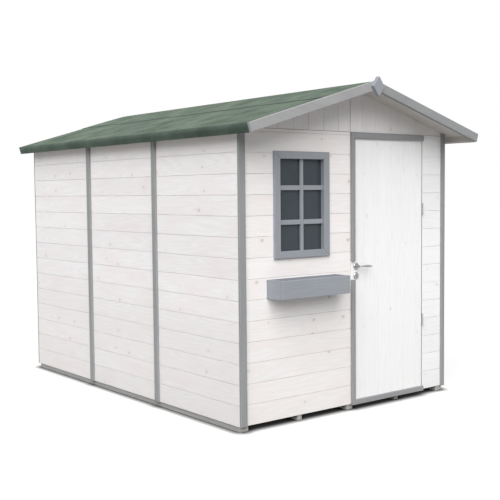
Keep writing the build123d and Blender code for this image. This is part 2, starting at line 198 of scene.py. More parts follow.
def span(tree: Tree, value: Feed, source: tuple = (0, 1), target: tuple = (0, 1), **settings: str) -> Node:
    """Add a step from one span of values to another."""
    return add_node(tree, "ShaderNodeMapRange", dict(enumerate((value, *source, *target))), **settings)


def blend(tree: Tree, amount: Feed, first: Feed | str, second: str) -> Socket:
    """Add a mix of a hex value or a feed with a second hex value."""
    feeds = {0: amount, 6: srgb(first) if isinstance(first, str) else first, 7: srgb(second)}
    return add_node(tree, "ShaderNodeMix", feeds, data_type="RGBA").outputs[2]


def soft_noise(tree: Tree, place: Feed, size: float, detail: float, **feeds: float) -> Node:
    """Add a noise with patches of one size."""
    feeds |= {"Vector": place, "Scale": 1 / size, "Detail": detail}
    return add_node(tree, "ShaderNodeTexNoise", feeds)


def bump(tree: Tree, strength: float, depth: float, height: Feed) -> Node:
    """Add a relief of one depth."""
    return add_node(tree, "ShaderNodeBump", {"Strength": strength, "Distance": depth, "Height": height})


def blank_material(name: str) -> tuple[Material, Tree, Socket]:
    """Make a material with an empty tree.

    Args:
        name: Name of the material.

    Returns:
        The material, its tree and the place on the object.
    """
    material = bpy.data.materials.new(name)
    material.use_nodes = True
    tree = material.node_tree
    tree.nodes.clear()
    return material, tree, add_node(tree, "ShaderNodeTexCoord").outputs["Object"]


def end_material(tree: Tree, feeds: dict[str, Feed]) -> None:
    """End a material's tree in one surface with its feeds."""
    surface = add_node(tree, "ShaderNodeBsdfPrincipled", feeds)
    add_node(tree, "ShaderNodeOutputMaterial", {"Surface": surface})


@dataclass(frozen=True)
class WoodFinish:
    """Planed softwood under paint, stain or nothing.

    Growth rings give long arches along the grain, fibres give fine streaks, and branches give knots with
    the rings bent round them. Boards differ a little in lightness, and painted shade darkens their feet.
    """

    name: str
    pale: str
    deep: str
    blush: str
    knot: str
    end: str
    figure: float = 0.4
    streaks: float = 0.45
    patches: float = 0.65
    knot_share: float = 0.36
    knot_depth: float = 0.42
    end_depth: float = 0.55
    tone_spread: float = 0.045
    roughness: float = 0.62
    relief: float = 0.00025
    # Depth of the painted shade near the ground
    splash: float = 0.0

    def material(self, grain: Grain, turn: float = 0.0) -> Material:
        """Make the finish for one run of the grain, or give the one made before.

        Args:
            grain: Axis that the grain runs along.
            turn: Turn of the piece about Y, in radians.

        Returns:
            The material.
        """
        label = f"{self.name}_{grain.name.lower()}_{round(math.degrees(turn))}"
        made = bpy.data.materials.get(label)
        if not made:
            made, tree, place = blank_material(label)
            WoodDrawing(self, tree, place, grain, turn).draw()
        return made


class WoodDrawing:
    """Draws a wood finish into the tree of a material, for one run of the grain."""

    def __init__(self, finish: WoodFinish, tree: Tree, place: Socket, grain: Grain, turn: float) -> None:
        """Lay the pattern out along and across the grain, at a different place on each board.

        Args:
            finish: Finish that is drawn.
            tree: Tree of the material.
            place: Place on the object.
            grain: Axis that the grain runs along.
            turn: Turn of the piece about Y, in radians.
        """
        self.finish, self.tree, self.place = finish, tree, place
        turns = [
            add_node(tree, "ShaderNodeMapping", {"Vector": given, "Rotation": (0, turn, 0)})
            for given in (place, place.node.outputs["Normal"])
        ]
        axes, facing = [add_node(tree, "ShaderNodeSeparateXYZ", {0: turned}).outputs for turned in turns]
        sawn = maths(tree, "ABSOLUTE", facing[grain.value])
        self.end = span(tree, sawn, SAWN_SPAN, (0, finish.end_depth))
        self.tone = add_node(tree, "ShaderNodeAttribute", attribute_name=TONE).outputs["Fac"]
        along = maths(tree, "MULTIPLY_ADD", self.tone, TONE_SHIFT, axes[grain.value])
        across = maths(tree, "ADD", *[axes[index] for index in range(3) if index != grain.value])
        self.flat = add_node(tree, "ShaderNodeCombineXYZ", {0: along, 1: across})
        self.heart, self.halo = self._knots()
        self.rings = self._rings()
        self.fibres = self._noise(FIBRE_LENGTH, FIBRE_WIDTH, 3)

    def _noise(self, length: float, width: float, detail: float) -> Node:
        """Noise with patches of a length along the grain and a width across it."""
        place = vectors(self.tree, "MULTIPLY", self.flat, (1 / length, 1 / width, 1))
        return soft_noise(self.tree, place, 1, detail)

    def _knots(self) -> tuple[Node, Node]:
        """Set a knot in some of the places along the boards.

        Returns:
            The knot's heart, and the ring round it where the grain bends.
        """
        tree = self.tree
        place = vectors(tree, "MULTIPLY", self.flat, (1 / KNOT_SPACING, 1 / BOARD_COVER, 1))
        grid = {"Vector": place, "Scale": 1}
        cells = add_node(tree, "ShaderNodeTexVoronoi", grid, voronoi_dimensions="2D").outputs
        offset = vectors(tree, "SUBTRACT", place, cells["Position"])
        real = vectors(tree, "MULTIPLY", offset, (KNOT_SPACING / KNOT_LENGTH, BOARD_COVER / KNOT_WIDTH, 0))
        reach = vectors(tree, "LENGTH", real).outputs["Value"]
        chance = add_node(tree, "ShaderNodeSeparateColor", {0: cells["Color"]}).outputs
        scaled = maths(tree, "DIVIDE", reach, span(tree, chance[0], target=KNOT_SIZES))
        absent = maths(tree, "GREATER_THAN", chance[1], self.finish.knot_share)
        far = maths(tree, "MULTIPLY_ADD", absent, FAR, scaled)
        depth = span(tree, chance[2], target=KNOT_DEPTHS)
        heart = span(tree, far, KNOT_HEART, (depth, 0), interpolation_type="SMOOTHSTEP")
        return heart, span(tree, far, KNOT_RING, (1, 0), interpolation_type="SMOOTHSTEP")

    def _rings(self) -> Node:
        """Draw the arches of the growth rings, bent round the knots.

        Returns:
            The rings from zero to one.
        """
        tree = self.tree
        swell = self._noise(FIGURE_LENGTH, FIGURE_WIDTH, 1.5)
        bend = maths(tree, "MULTIPLY_ADD", self.halo, RING_BEND, swell)
        wave = maths(tree, "SINE", maths(tree, "MULTIPLY", bend, math.tau * FIGURE_RINGS))
        return span(tree, wave, (-1, 1))

    def _splash(self) -> Node:
        """Draw painted shade near the ground, uneven and fading with height.

        Returns:
            The amount of painted shade.
        """
        tree = self.tree
        height = add_node(tree, "ShaderNodeSeparateXYZ", {0: self.place}).outputs["Z"]
        uneven = soft_noise(tree, self.place, GROUND_SHADE_PATCH, 2)
        reach = maths(tree, "MULTIPLY_ADD", uneven, GROUND_SHADE_SPAN[0], height)
        return span(tree, reach, GROUND_SHADE_SPAN, (self.finish.splash, 0))

    def _colour(self) -> Socket:
        """Mix the colours of the face, then the board's tone, the knots, the ends and the painted shade
        near the ground.

        Returns:
            The colour.
        """
        tree, finish = self.tree, self.finish
        patches = self._noise(PATCH_LENGTH, PATCH_WIDTH, 2)
        colour = finish.pale
        for amount, code in (
            (maths(tree, "MULTIPLY", self.rings, finish.figure), finish.deep),
            (span(tree, self.fibres, STREAK_SPAN, (0, finish.streaks)), finish.deep),
            (span(tree, patches, PATCH_SPAN, (0, finish.patches)), finish.blush),
            (maths(tree, "MULTIPLY", self.halo, finish.figure * RING_BLUSH), finish.blush),
        ):
            colour = blend(tree, amount, colour, code)
        value = span(tree, self.tone, target=(1, 1 - finish.tone_spread))
        colour = add_node(tree, "ShaderNodeHueSaturation", {"Value": value, "Color": colour})
        for amount, code in (
            (maths(tree, "MULTIPLY", self.heart, finish.knot_depth), finish.knot),
            (self.end, finish.end),
            # Painted shade that darkens the feet of the boards
            (self._splash(), GROUND_SHADE_GREY),
        ):
            colour = blend(tree, amount, colour, code)
        return colour

    def draw(self) -> None:
        """End the tree in the finished surface."""
        tree, rough = self.tree, self.finish.roughness
        height = maths(tree, "SUBTRACT", maths(tree, "ADD", self.fibres, self.rings), self.heart)
        end_material(tree, {
            "Base Color": self._colour(),
            "Roughness": span(tree, self.fibres, target=(rough - ROUGH_SPREAD, rough + ROUGH_SPREAD)),
            "Normal": bump(tree, WOOD_BUMP, self.finish.relief, height),
            "Specular IOR Level": WOOD_GLOSS,
        })


@dataclass(frozen=True)
class FeltFinish:
    """Roofing felt: bitumen with green mineral grit rolled in.

    The grit gives a matt, mottled face that pales at a low angle. Grains of 1 mm are drawn as 4 mm ones,
    because the real ones are too fine to show.
    """

    name: str = "green_mineral_felt"
    pale: str = "#515e56"
    mid: str = "#3b4841"
    deep: str = "#252d28"
    bloom: str = "#d9efd4"
    bloom_span: Span = (0.34, 0.66)
    bloom_amount: Span = (0.38, 0.92)
    bloom_roughness: float = 0.32
    grit: float = 0.004
    grit_weight: float = 0.45
    patch: float = 0.22
    patch_roughness: float = 0.65
    mottle_span: Span = (0.45, 1.1)
    fleck_from: float = 0.86
    fleck_depth: float = 0.55
    roughness: float = 0.95
    gloss: float = 0.15
    relief: float = 0.0007
    relief_strength: float = 0.7

    def material(self) -> Material:
        """Make the finish.

        Returns:
            The material.
        """
        material, tree, place = blank_material(self.name)
        grains = add_node(tree, "ShaderNodeTexVoronoi", {"Vector": place, "Scale": 1 / self.grit}).outputs
        chance = add_node(tree, "ShaderNodeSeparateColor", {0: grains["Color"]}).outputs
        clouds = soft_noise(tree, place, self.patch, 4, Roughness=self.patch_roughness)
        mottle = maths(tree, "MULTIPLY_ADD", chance[0], self.grit_weight, clouds)
        colour = blend(tree, span(tree, mottle, self.mottle_span), self.mid, self.pale)
        dark = maths(tree, "GREATER_THAN", chance[1], self.fleck_from)
        end_material(tree, {
            "Base Color": blend(tree, maths(tree, "MULTIPLY", dark, self.fleck_depth), colour, self.deep),
            "Roughness": self.roughness,
            "Normal": bump(tree, self.relief_strength, self.relief, grains["Distance"]),
            "Specular IOR Level": self.gloss,
            "Sheen Weight": span(tree, clouds, self.bloom_span, self.bloom_amount),
            "Sheen Roughness": self.bloom_roughness,
            "Sheen Tint": srgb(self.bloom),
        })
        return material


@dataclass(frozen=True)
class MetalFinish:
    """Plated steel, brushed or dulled, or with no metal in it a smooth dark coat.

    Fine scratches and a patchy film break up the reflections.
    """

    name: str
    bright: str
    dull: str
    roughness: float
    metallic: float = 1.0
    rough_spread: Span = (-0.07, 0.1)
    scratch: float = 0.0012
    scratch_stretch: float = 0.08
    scratch_depth: float = 0.0001
    scratch_strength: float = 0.12
    film: float = 0.012
    film_span: Span = (0.35, 0.7)

    def material(self) -> Material:
        """Make the finish.

        Returns:
            The material.
        """
        material, tree, place = blank_material(self.name)
        drawn_out = {"Vector": place, "Scale": (self.scratch_stretch, 1, 1)}
        scratches = soft_noise(tree, add_node(tree, "ShaderNodeMapping", drawn_out), self.scratch, 2)
        films = span(tree, soft_noise(tree, place, self.film, 3), self.film_span)
        rough = tuple(self.roughness + spread for spread in self.rough_spread)
        end_material(tree, {
            "Base Color": blend(tree, films, self.bright, self.dull),
            "Metallic": self.metallic,
            "Roughness": span(tree, scratches, target=rough),
            "Normal": bump(tree, self.scratch_strength, self.scratch_depth, scratches),
        })
        return material


@dataclass(frozen=True)
class PaneFinish:
    """Window pane of smoked sheet, drawn flat and dulled by dust.

    Its dark colour is a smoked tint with painted shade of the unlit inside; the inside also shows through
    it faintly, with a faint reflection, slightly uneven from drawing and dust.
    """

    name: str = "smoked_pane"
    # Dark greys of the pane: smoked tint and painted shade of the inside
    clear: str = "#41494f"
    dusty: str = "#4d555b"
    wave: float = 0.2
    roughness: Span = (0.2, 0.3)
    ior: float = 1.49
    transmission: float = 0.3
    gloss: float = 0.15

    def material(self) -> Material:
        """Make the finish.

        Returns:
            The material.
        """
        material, tree, place = blank_material(self.name)
        clouds = soft_noise(tree, place, self.wave, 3)
        end_material(tree, {
            "Base Color": blend(tree, clouds, self.clear, self.dusty),
            "Roughness": span(tree, clouds, target=self.roughness),
            "IOR": self.ior,
            "Transmission Weight": self.transmission,
            "Specular IOR Level": self.gloss,
        })
        return material


# Spruce cladding dipped in a thin white wash: nearly white, with a faint rosy figure and grey knots
WHITEWASHED_SPRUCE = WoodFinish(
    name="whitewashed_spruce", pale="#f6f5f5", deep="#e9e6e5", blush="#f0e8e7", knot="#a39c99",
    end="#a39c99", splash=0.16,
)
# The same wash on the resinous boards of the front: creamier, with small grey-brown knots
CREAM_WASHED_SPRUCE = WoodFinish(
    name="cream_washed_spruce", pale="#f9f7f6", deep="#ece9e7", blush="#f4ebe9", knot="#9b908a",
    end="#a39c99", knot_share=0.42, knot_depth=0.46, splash=0.14,
)
# Close-jointed spruce round the hinges under more of the wash: whiter, with grey end grain darkened further
# as painted shade in the gaps by the door
TWICE_WASHED_SPRUCE = WoodFinish(
    name="twice_washed_spruce", pale="#f8f8f8", deep="#eeedee", blush="#f3f1f1", knot="#a9a4a2",
    end="#6d6966", patches=0.5, knot_share=0.3, knot_depth=0.4, end_depth=0.9, tone_spread=0.04,
    relief=0.0002, splash=0.09,
)
# Roof boards in the wash, darker than the walls as painted shade under the overhangs where they show from
# below, and warm
SOFFIT_SHADED_SPRUCE = WoodFinish(
    name="once_washed_spruce", pale="#dad6d0", deep="#cdc8c1", blush="#d4ccc5", knot="#8f8680",
    end="#8f8680",
)
# Spruce strips under an opaque grey stain: matt and even, with the fibres just showing
GREY_STAINED_SPRUCE = WoodFinish(
    name="grey_stained_spruce", pale="#939495", deep="#87888a", blush="#979898", knot="#808182",
    end="#858687", figure=0.35, streaks=0.5, patches=0.5, knot_share=0.12, knot_depth=0.4, end_depth=0.35,
    tone_spread=0.0, roughness=0.58, relief=0.0002,
)
# A bluer batch of the stain on the window and its box: as matt and even as the strips
BLUE_STAINED_SPRUCE = replace(
    GREY_STAINED_SPRUCE, name="blue_grey_stained_spruce", pale="#969aa0", deep="#8a8e94", blush="#9b9fa4",
    knot="#83878d", end="#83878d",
)
# The grey stain on a bargeboard, which weathers first: paler, with the grain opening
WEATHERED_SPRUCE = replace(
    GREY_STAINED_SPRUCE, name="weathered_stained_spruce", pale="#a2a2a3", deep="#949496", blush="#a6a6a6",
    knot="#898a8b", end="#929293", figure=0.4, streaks=0.6, patches=0.6, knot_share=0.15, roughness=0.66,
    relief=0.0003,
)
# Planed spruce with no finish: warm and pale, with darker rings and brown knots
BARE_SPRUCE = WoodFinish(
    name="bare_spruce", pale="#dcc097", deep="#c59f6c", blush="#d3b083", knot="#80552f", end="#80552f",
    figure=0.6, streaks=0.4, patches=0.5, knot_share=0.45, knot_depth=0.85, end_depth=0.25, tone_spread=0.1,
    roughness=0.6, relief=0.0002,
)
# Sawn pine steeped in preservative: dull grey, with a rough furry face and ends bleached pale
TREATED_PINE = WoodFinish(
    name="treated_pine", pale="#b2b3b1", deep="#9c9d9b", blush="#aaaba8", knot="#625f5b", end="#b4b3ae",
    figure=0.5, streaks=0.7, patches=0.6, knot_share=0.3, knot_depth=0.6, end_depth=0.9, tone_spread=0.06,
    roughness=0.82, relief=0.0006,
)
# Black bead along each lap of the felt, a painted shade line under the lap's edge: black and a little
# glossy, with a lumpy face
LAP_SHADE_BLACK = MetalFinish(name="bitumen_bead", bright="#2a2f2b", dull="#363d37", roughness=0.6, metallic=0.0)
# Zinc-plated steel of the hinges: cool grey and dulled
ZINC_STEEL = MetalFinish(name="zinc_steel", bright="#c3c5c7", dull="#a8abae", roughness=0.55)
# Stainless steel of the screws: pale grey, so that they hardly show on the strips
STAINLESS_STEEL = MetalFinish(name="stainless_steel", bright="#a9abad", dull="#94969a", roughness=0.5)
# Painted shade in the keyholes: nearly black and dull
KEYHOLE_SHADE_BLACK = MetalFinish(name="blackened_steel", bright="#2a2b2c", dull="#1d1e1f", roughness=0.6)
# Satin nickel of the handle and the roses: brushed and soft
SATIN_NICKEL = MetalFinish(name="satin_nickel", bright="#b4b4b6", dull="#8f8f92", roughness=0.3)


def corners(node: str) -> tuple[Vector, Vector]:
    """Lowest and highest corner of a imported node."""
    low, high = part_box(node)
    return Vector(low), Vector(high)


@dataclass(frozen=True)
class RoofLine:
    """Underside of the roof boards, which the walls are cut to."""

    apex: float
    fall: float

    @classmethod
    def from_frame(cls) -> "RoofLine":
        """Measure the line on the heads of a side wall and the gable.

        Returns:
            The line.
        """
        wall_low, wall_high = corners("right_wall_middle_panel")
        apex = corners("front_gable_panels")[1].z
        return cls(apex=apex, fall=(apex - wall_high.z) / wall_low.x)

    @property
    def angle(self) -> float:
        """Slope in radians."""
        return math.atan(self.fall)


@dataclass(frozen=True)
class SlopeFrame:
    """Places on one slope, measured down from the ridge and off the top of its boards."""

    hand: Hand
    ridge: float
    angle: float

    def point(self, along: float, y: float, off: float) -> Vector:
        """Turn a place on the slope to a point in the frame.

        Args:
            along: Distance down from the ridge.
            y: Place from the front to the back.
            off: Distance off the top of the boards.

        Returns:
            The point.
        """
        reach = along * math.cos(self.angle) + off * math.sin(self.angle)
        z = self.ridge - along * math.sin(self.angle) + off * math.cos(self.angle)
        return Vector((self.hand.value * reach, y, z))


def new_object(name: str, mesh: bpy.types.Mesh) -> Piece:
    """Put a mesh into the scene as an object at the origin.

    Args:
        name: Name of the object.
        mesh: The mesh.

    Returns:
        The object.
    """
    piece = bpy.data.objects.new(name, mesh)
    bpy.context.scene.collection.objects.link(piece)
    return piece


def settle(piece: Piece, body: Body, slot: Slot, *nodes: str) -> None:
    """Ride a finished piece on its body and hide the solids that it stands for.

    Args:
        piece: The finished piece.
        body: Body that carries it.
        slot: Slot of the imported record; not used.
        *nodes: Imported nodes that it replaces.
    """
    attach(piece, body.value)
    if nodes:
        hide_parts(*nodes)
    log.info("%s: %d faces on %s", piece.name, len(piece.data.polygons), body.value)


def dress(material: Material, *nodes: str) -> None:
    """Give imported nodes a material.

    Args:
        material: The material.
        *nodes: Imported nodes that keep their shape.
    """
    for node in nodes:
        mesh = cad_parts[node].data
        mesh.materials.clear()
        mesh.materials.append(material)


def face_outwards(mesh: bpy.types.Mesh) -> None:
    """Turn the faces of closed shells outwards.

    Args:
        mesh: Mesh of the shells.
    """
    shell = bmesh.new()
    shell.from_mesh(mesh)
    bmesh.ops.recalc_face_normals(shell, faces=shell.faces)
    shell.to_mesh(mesh)
    shell.free()


def skin(
    name: str, shells: list[list[list[Vector]]], finish: Material, sharp: float = 0.0, strips: bool = False
) -> Piece:
    """Skin shells of loops into one closed object.

    Args:
        name: Name of the piece.
        shells: Loops of points of each shell, in order.
        finish: Its material.
        sharp: Degrees from which an edge stays sharp, or zero for flat faces.
        strips: Whether each loop runs out and back, so that the ends close in strips.

    Returns:
        The piece.
    """
    points, faces = [], []
    for loops in shells:
        size, first = len(loops[0]), len(points)
        points += [point for loop in loops for point in loop]
        last = len(points) - size
        for end in (first, last):
            if strips:
                pairs = [(end + place, end + size - 1 - place) for place in range(size // 2)]
                faces += [(*near, far[1], far[0]) for near, far in zip(pairs, pairs[1:])]
            else:
                faces.append(tuple(range(end, end + size)))
        for start in range(first, last, size):
            for place in range(size):
                after = (place + 1) % size
                faces.append((start + place, start + after, start + size + after, start + size + place))
    mesh = bpy.data.meshes.new(name)
    mesh.from_pydata(points, [], faces)
    face_outwards(mesh)
    if sharp:
        mesh.shade_smooth()
        mesh.set_sharp_from_angle(angle=math.radians(sharp))
    mesh.materials.append(finish)
    return new_object(name, mesh)


def start_tree(name: str, inputs: dict[str, str]) -> tuple[Tree, Sockets]:
    """Start a Geometry Nodes tree.

    Args:
        name: Name of the tree.
        inputs: Names of its own inputs to their kinds.

    Returns:
        The tree and the sockets of its inputs.
    """
    tree = bpy.data.node_groups.new(name, "GeometryNodeTree")
    for label, kind in {"Geometry": "Geometry", **inputs, "Material": "Material"}.items():
        tree.interface.new_socket(name=label, in_out="INPUT", socket_type=f"NodeSocket{kind}")
    tree.interface.new_socket(name="Geometry", in_out="OUTPUT", socket_type="NodeSocketGeometry")
    return tree, add_node(tree, "NodeGroupInput").outputs


def end_tree(tree: Tree, given: Sockets, made: Node) -> None:
    """End a Geometry Nodes tree in real geometry with its material.

    Args:
        tree: The tree.
        given: Sockets of its inputs.
        made: What it has made.
    """
    real = add_node(tree, "GeometryNodeRealizeInstances", {0: made})
    finished = add_node(tree, "GeometryNodeSetMaterial", {0: real, "Material": given["Material"]})
    add_node(tree, "NodeGroupOutput", {0: finished})


def grow(
    name: str, tree: Tree, points: list[Vector], edges: list[tuple[int, int]],
    marks: dict[str, list[Point]], inputs: dict[str, object]
) -> Piece:
    """Run a Geometry Nodes tree on points and edges, and keep the result as a plain mesh.

    Args:
        name: Name of the piece.
        tree: The tree.
        points: Points that it starts from.
        edges: Edges between the points.
        marks: Names of vectors to their values at the points.
        inputs: Names of the tree's inputs to their values.

    Returns:
        The piece.
    """
    start = bpy.data.meshes.new(name)
    start.from_pydata(points, edges, [])
    for label, values in marks.items():
        layer = start.attributes.new(label, "FLOAT_VECTOR", "POINT")
        for place, value in enumerate(values):
            layer.data[place].vector = value
    piece = new_object(name, start)
    sockets = {item.name: item.identifier for item in tree.interface.items_tree if item.in_out == "INPUT"}
    modifier = piece.modifiers.new(tree.name, "NODES")
    modifier.node_group = tree
    for label, value in inputs.items():
        modifier[sockets[label]] = value
    bpy.context.view_layer.update()
    depsgraph = bpy.context.evaluated_depsgraph_get()
    made = bpy.data.meshes.new_from_object(
        piece.evaluated_get(depsgraph), preserve_all_data_layers=True, depsgraph=depsgraph
    )
    piece.modifiers.remove(modifier)
    piece.data = made
    made.name = piece.name
    bpy.data.meshes.remove(start)
    face_outwards(made)
    made.shade_flat()
    return piece


@dataclass
class BoardRun:
    """One board as its middle line, with the box that it is trimmed to."""

    start: Vector
    end: Vector
    low: Point = (-FAR, -FAR, -FAR)
    high: Point = (FAR, FAR, FAR)


@dataclass(frozen=True)
class BoardStock:
    """Section of a board, the groove between it and the next, and its turn about its length."""

    thickness: float
    width: float
    bevel: float
    groove: float = 0.0
    tilt: float = 0.0


class BoardMill:
    """Cuts boards along lines with Geometry Nodes, trims them and marks each with a tone."""

    def __init__(self, roof: RoofLine) -> None:
        """Keep the roof's line and lay out the tree.

        Args:
            roof: Line that boards under the roof end at.
        """
        self.roof = roof
        sizes = ("Thickness", "Width", "Groove", "Bevel", "Tilt", "Soffit Apex", "Soffit Fall")
        self.tree, self.given = start_tree("board_mill", {**dict.fromkeys(sizes, "Float"), "Seed": "Int"})
        self._plan()

    def _plan(self) -> None:
        """Build the tree that turns lines into bevelled, trimmed boards."""
        tree, given = self.tree, self.given
        lines = add_node(tree, "GeometryNodeMeshToCurve", {0: given["Geometry"]})
        chance = add_node(tree, "FunctionNodeRandomValue", {"Seed": given["Seed"]}, data_type="FLOAT")
        per_board = {0: chance.outputs[1]}
        tone = add_node(tree, "GeometryNodeFieldOnDomain", per_board, domain="CURVE", data_type="FLOAT")
        store = {"Geometry": lines, "Name": TONE, "Value": tone}
        toned = add_node(tree, "GeometryNodeStoreNamedAttribute", store, data_type="FLOAT", domain="POINT")
        upright = add_node(tree, "GeometryNodeSetCurveNormal", {"Curve": toned}, mode="Z_UP")
        tilted = add_node(tree, "GeometryNodeSetCurveTilt", {"Curve": upright, "Tilt": given["Tilt"]})
        face = maths(tree, "SUBTRACT", given["Width"], given["Groove"])
        size = {"Width": given["Thickness"], "Height": face}
        section = add_node(tree, "GeometryNodeCurvePrimitiveQuadrilateral", size)
        corner = {"Curve": section, "Count": 1, "Radius": given["Bevel"]}
        bevelled = add_node(tree, "GeometryNodeFilletCurve", corner, mode="POLY")
        sweeps = [
            {"Curve": tilted, "Profile Curve": profile, "Fill Caps": True}
            for profile in (bevelled, self._tongue())
        ]
        boards, tongues = [add_node(tree, "GeometryNodeCurveToMesh", sweep) for sweep in sweeps]
        grooved = add_node(
            tree, "FunctionNodeCompare", {0: given["Groove"], 1: 0.0}, operation="GREATER_THAN"
        )
        kept = {0: grooved, "True": tongues}
        chosen = add_node(tree, "GeometryNodeSwitch", kept, input_type="GEOMETRY")
        both = add_node(tree, "GeometryNodeJoinGeometry", {0: boards})
        tree.links.new(chosen.outputs[0], both.inputs[0])
        trimmed = {0: both, "Position": self._trim()}
        end_tree(tree, given, add_node(tree, "GeometryNodeSetPosition", trimmed))

    def _tongue(self) -> Node:
        """Draw the tongue that closes the groove beside a board.

        Returns:
            Its section, moved to the edge of the board.
        """
        tree, given = self.tree, self.given
        thin = maths(tree, "MULTIPLY", given["Thickness"], TONGUE_SHARE)
        bridge = maths(tree, "ADD", given["Groove"], 2 * TONGUE_LAP)
        size = {"Width": thin, "Height": bridge}
        section = add_node(tree, "GeometryNodeCurvePrimitiveQuadrilateral", size)
        shift = add_node(tree, "ShaderNodeCombineXYZ", {1: maths(tree, "MULTIPLY", given["Width"], 0.5)})
        return add_node(tree, "GeometryNodeTransform", {0: section, "Translation": shift})

    def _trim(self) -> Node:
        """Hold each board inside its box and under the roof.

        Returns:
            The trimmed position.
        """
        tree, given = self.tree, self.given
        place = add_node(tree, "GeometryNodeInputPosition")
        for name, hold in ((TRIM_HIGH, "MINIMUM"), (TRIM_LOW, "MAXIMUM")):
            mark = {"Name": name}
            limit = add_node(tree, "GeometryNodeInputNamedAttribute", mark, data_type="FLOAT_VECTOR")
            place = vectors(tree, hold, place, limit)
        x, y, z = add_node(tree, "ShaderNodeSeparateXYZ", {0: place}).outputs
        fallen = maths(tree, "MULTIPLY", maths(tree, "ABSOLUTE", x), given["Soffit Fall"])
        soffit = maths(tree, "SUBTRACT", given["Soffit Apex"], fallen)
        return add_node(tree, "ShaderNodeCombineXYZ", {0: x, 1: y, 2: maths(tree, "MINIMUM", z, soffit)})

    def cut(
        self, name: str, runs: list[BoardRun], stock: BoardStock, finish: Material, seed: int,
        under_roof: bool = False
    ) -> Piece:
        """Cut boards of one stock along their runs.

        Args:
            name: Name of the piece.
            runs: The boards.
            stock: Their section.
            finish: Their material.
            seed: Seed of their tones.
            under_roof: Whether they end at the underside of the roof.

        Returns:
            The boards as one object.
        """
        points = [point for run in runs for point in (run.start, run.end)]
        edges = [(place, place + 1) for place in range(0, len(points), 2)]
        lows = [low for run in runs for low in (run.low, run.low)]
        highs = [high for run in runs for high in (run.high, run.high)]
        apex, fall = (self.roof.apex, self.roof.fall) if under_roof else (FAR, 0.0)
        inputs = {label.title(): value for label, value in asdict(stock).items()}
        inputs |= {"Soffit Apex": apex, "Soffit Fall": fall, "Seed": seed, "Material": finish}
        return grow(name, self.tree, points, edges, {TRIM_LOW: lows, TRIM_HIGH: highs}, inputs)

    def row(self, low: Vector, high: Vector, width: float, grain: Grain) -> list[BoardRun]:
        """Lay boards side by side in a box, from its left end to its right.

        Args:
            low: Lowest corner of the box.
            high: Highest corner of the box, which the last board is ripped to.
            width: Width of a board.
            grain: Axis that the boards run along.

        Returns:
            The boards.
        """
        runs = []
        for place in range(math.ceil((high.x - low.x) / width)):
            start, end = (low + high) / 2, (low + high) / 2
            start.x = end.x = low.x + width * (place + 0.5)
            start[grain.value], end[grain.value] = low[grain.value], high[grain.value]
            runs.append(BoardRun(start, end, high=(high.x, FAR, FAR)))
        return runs


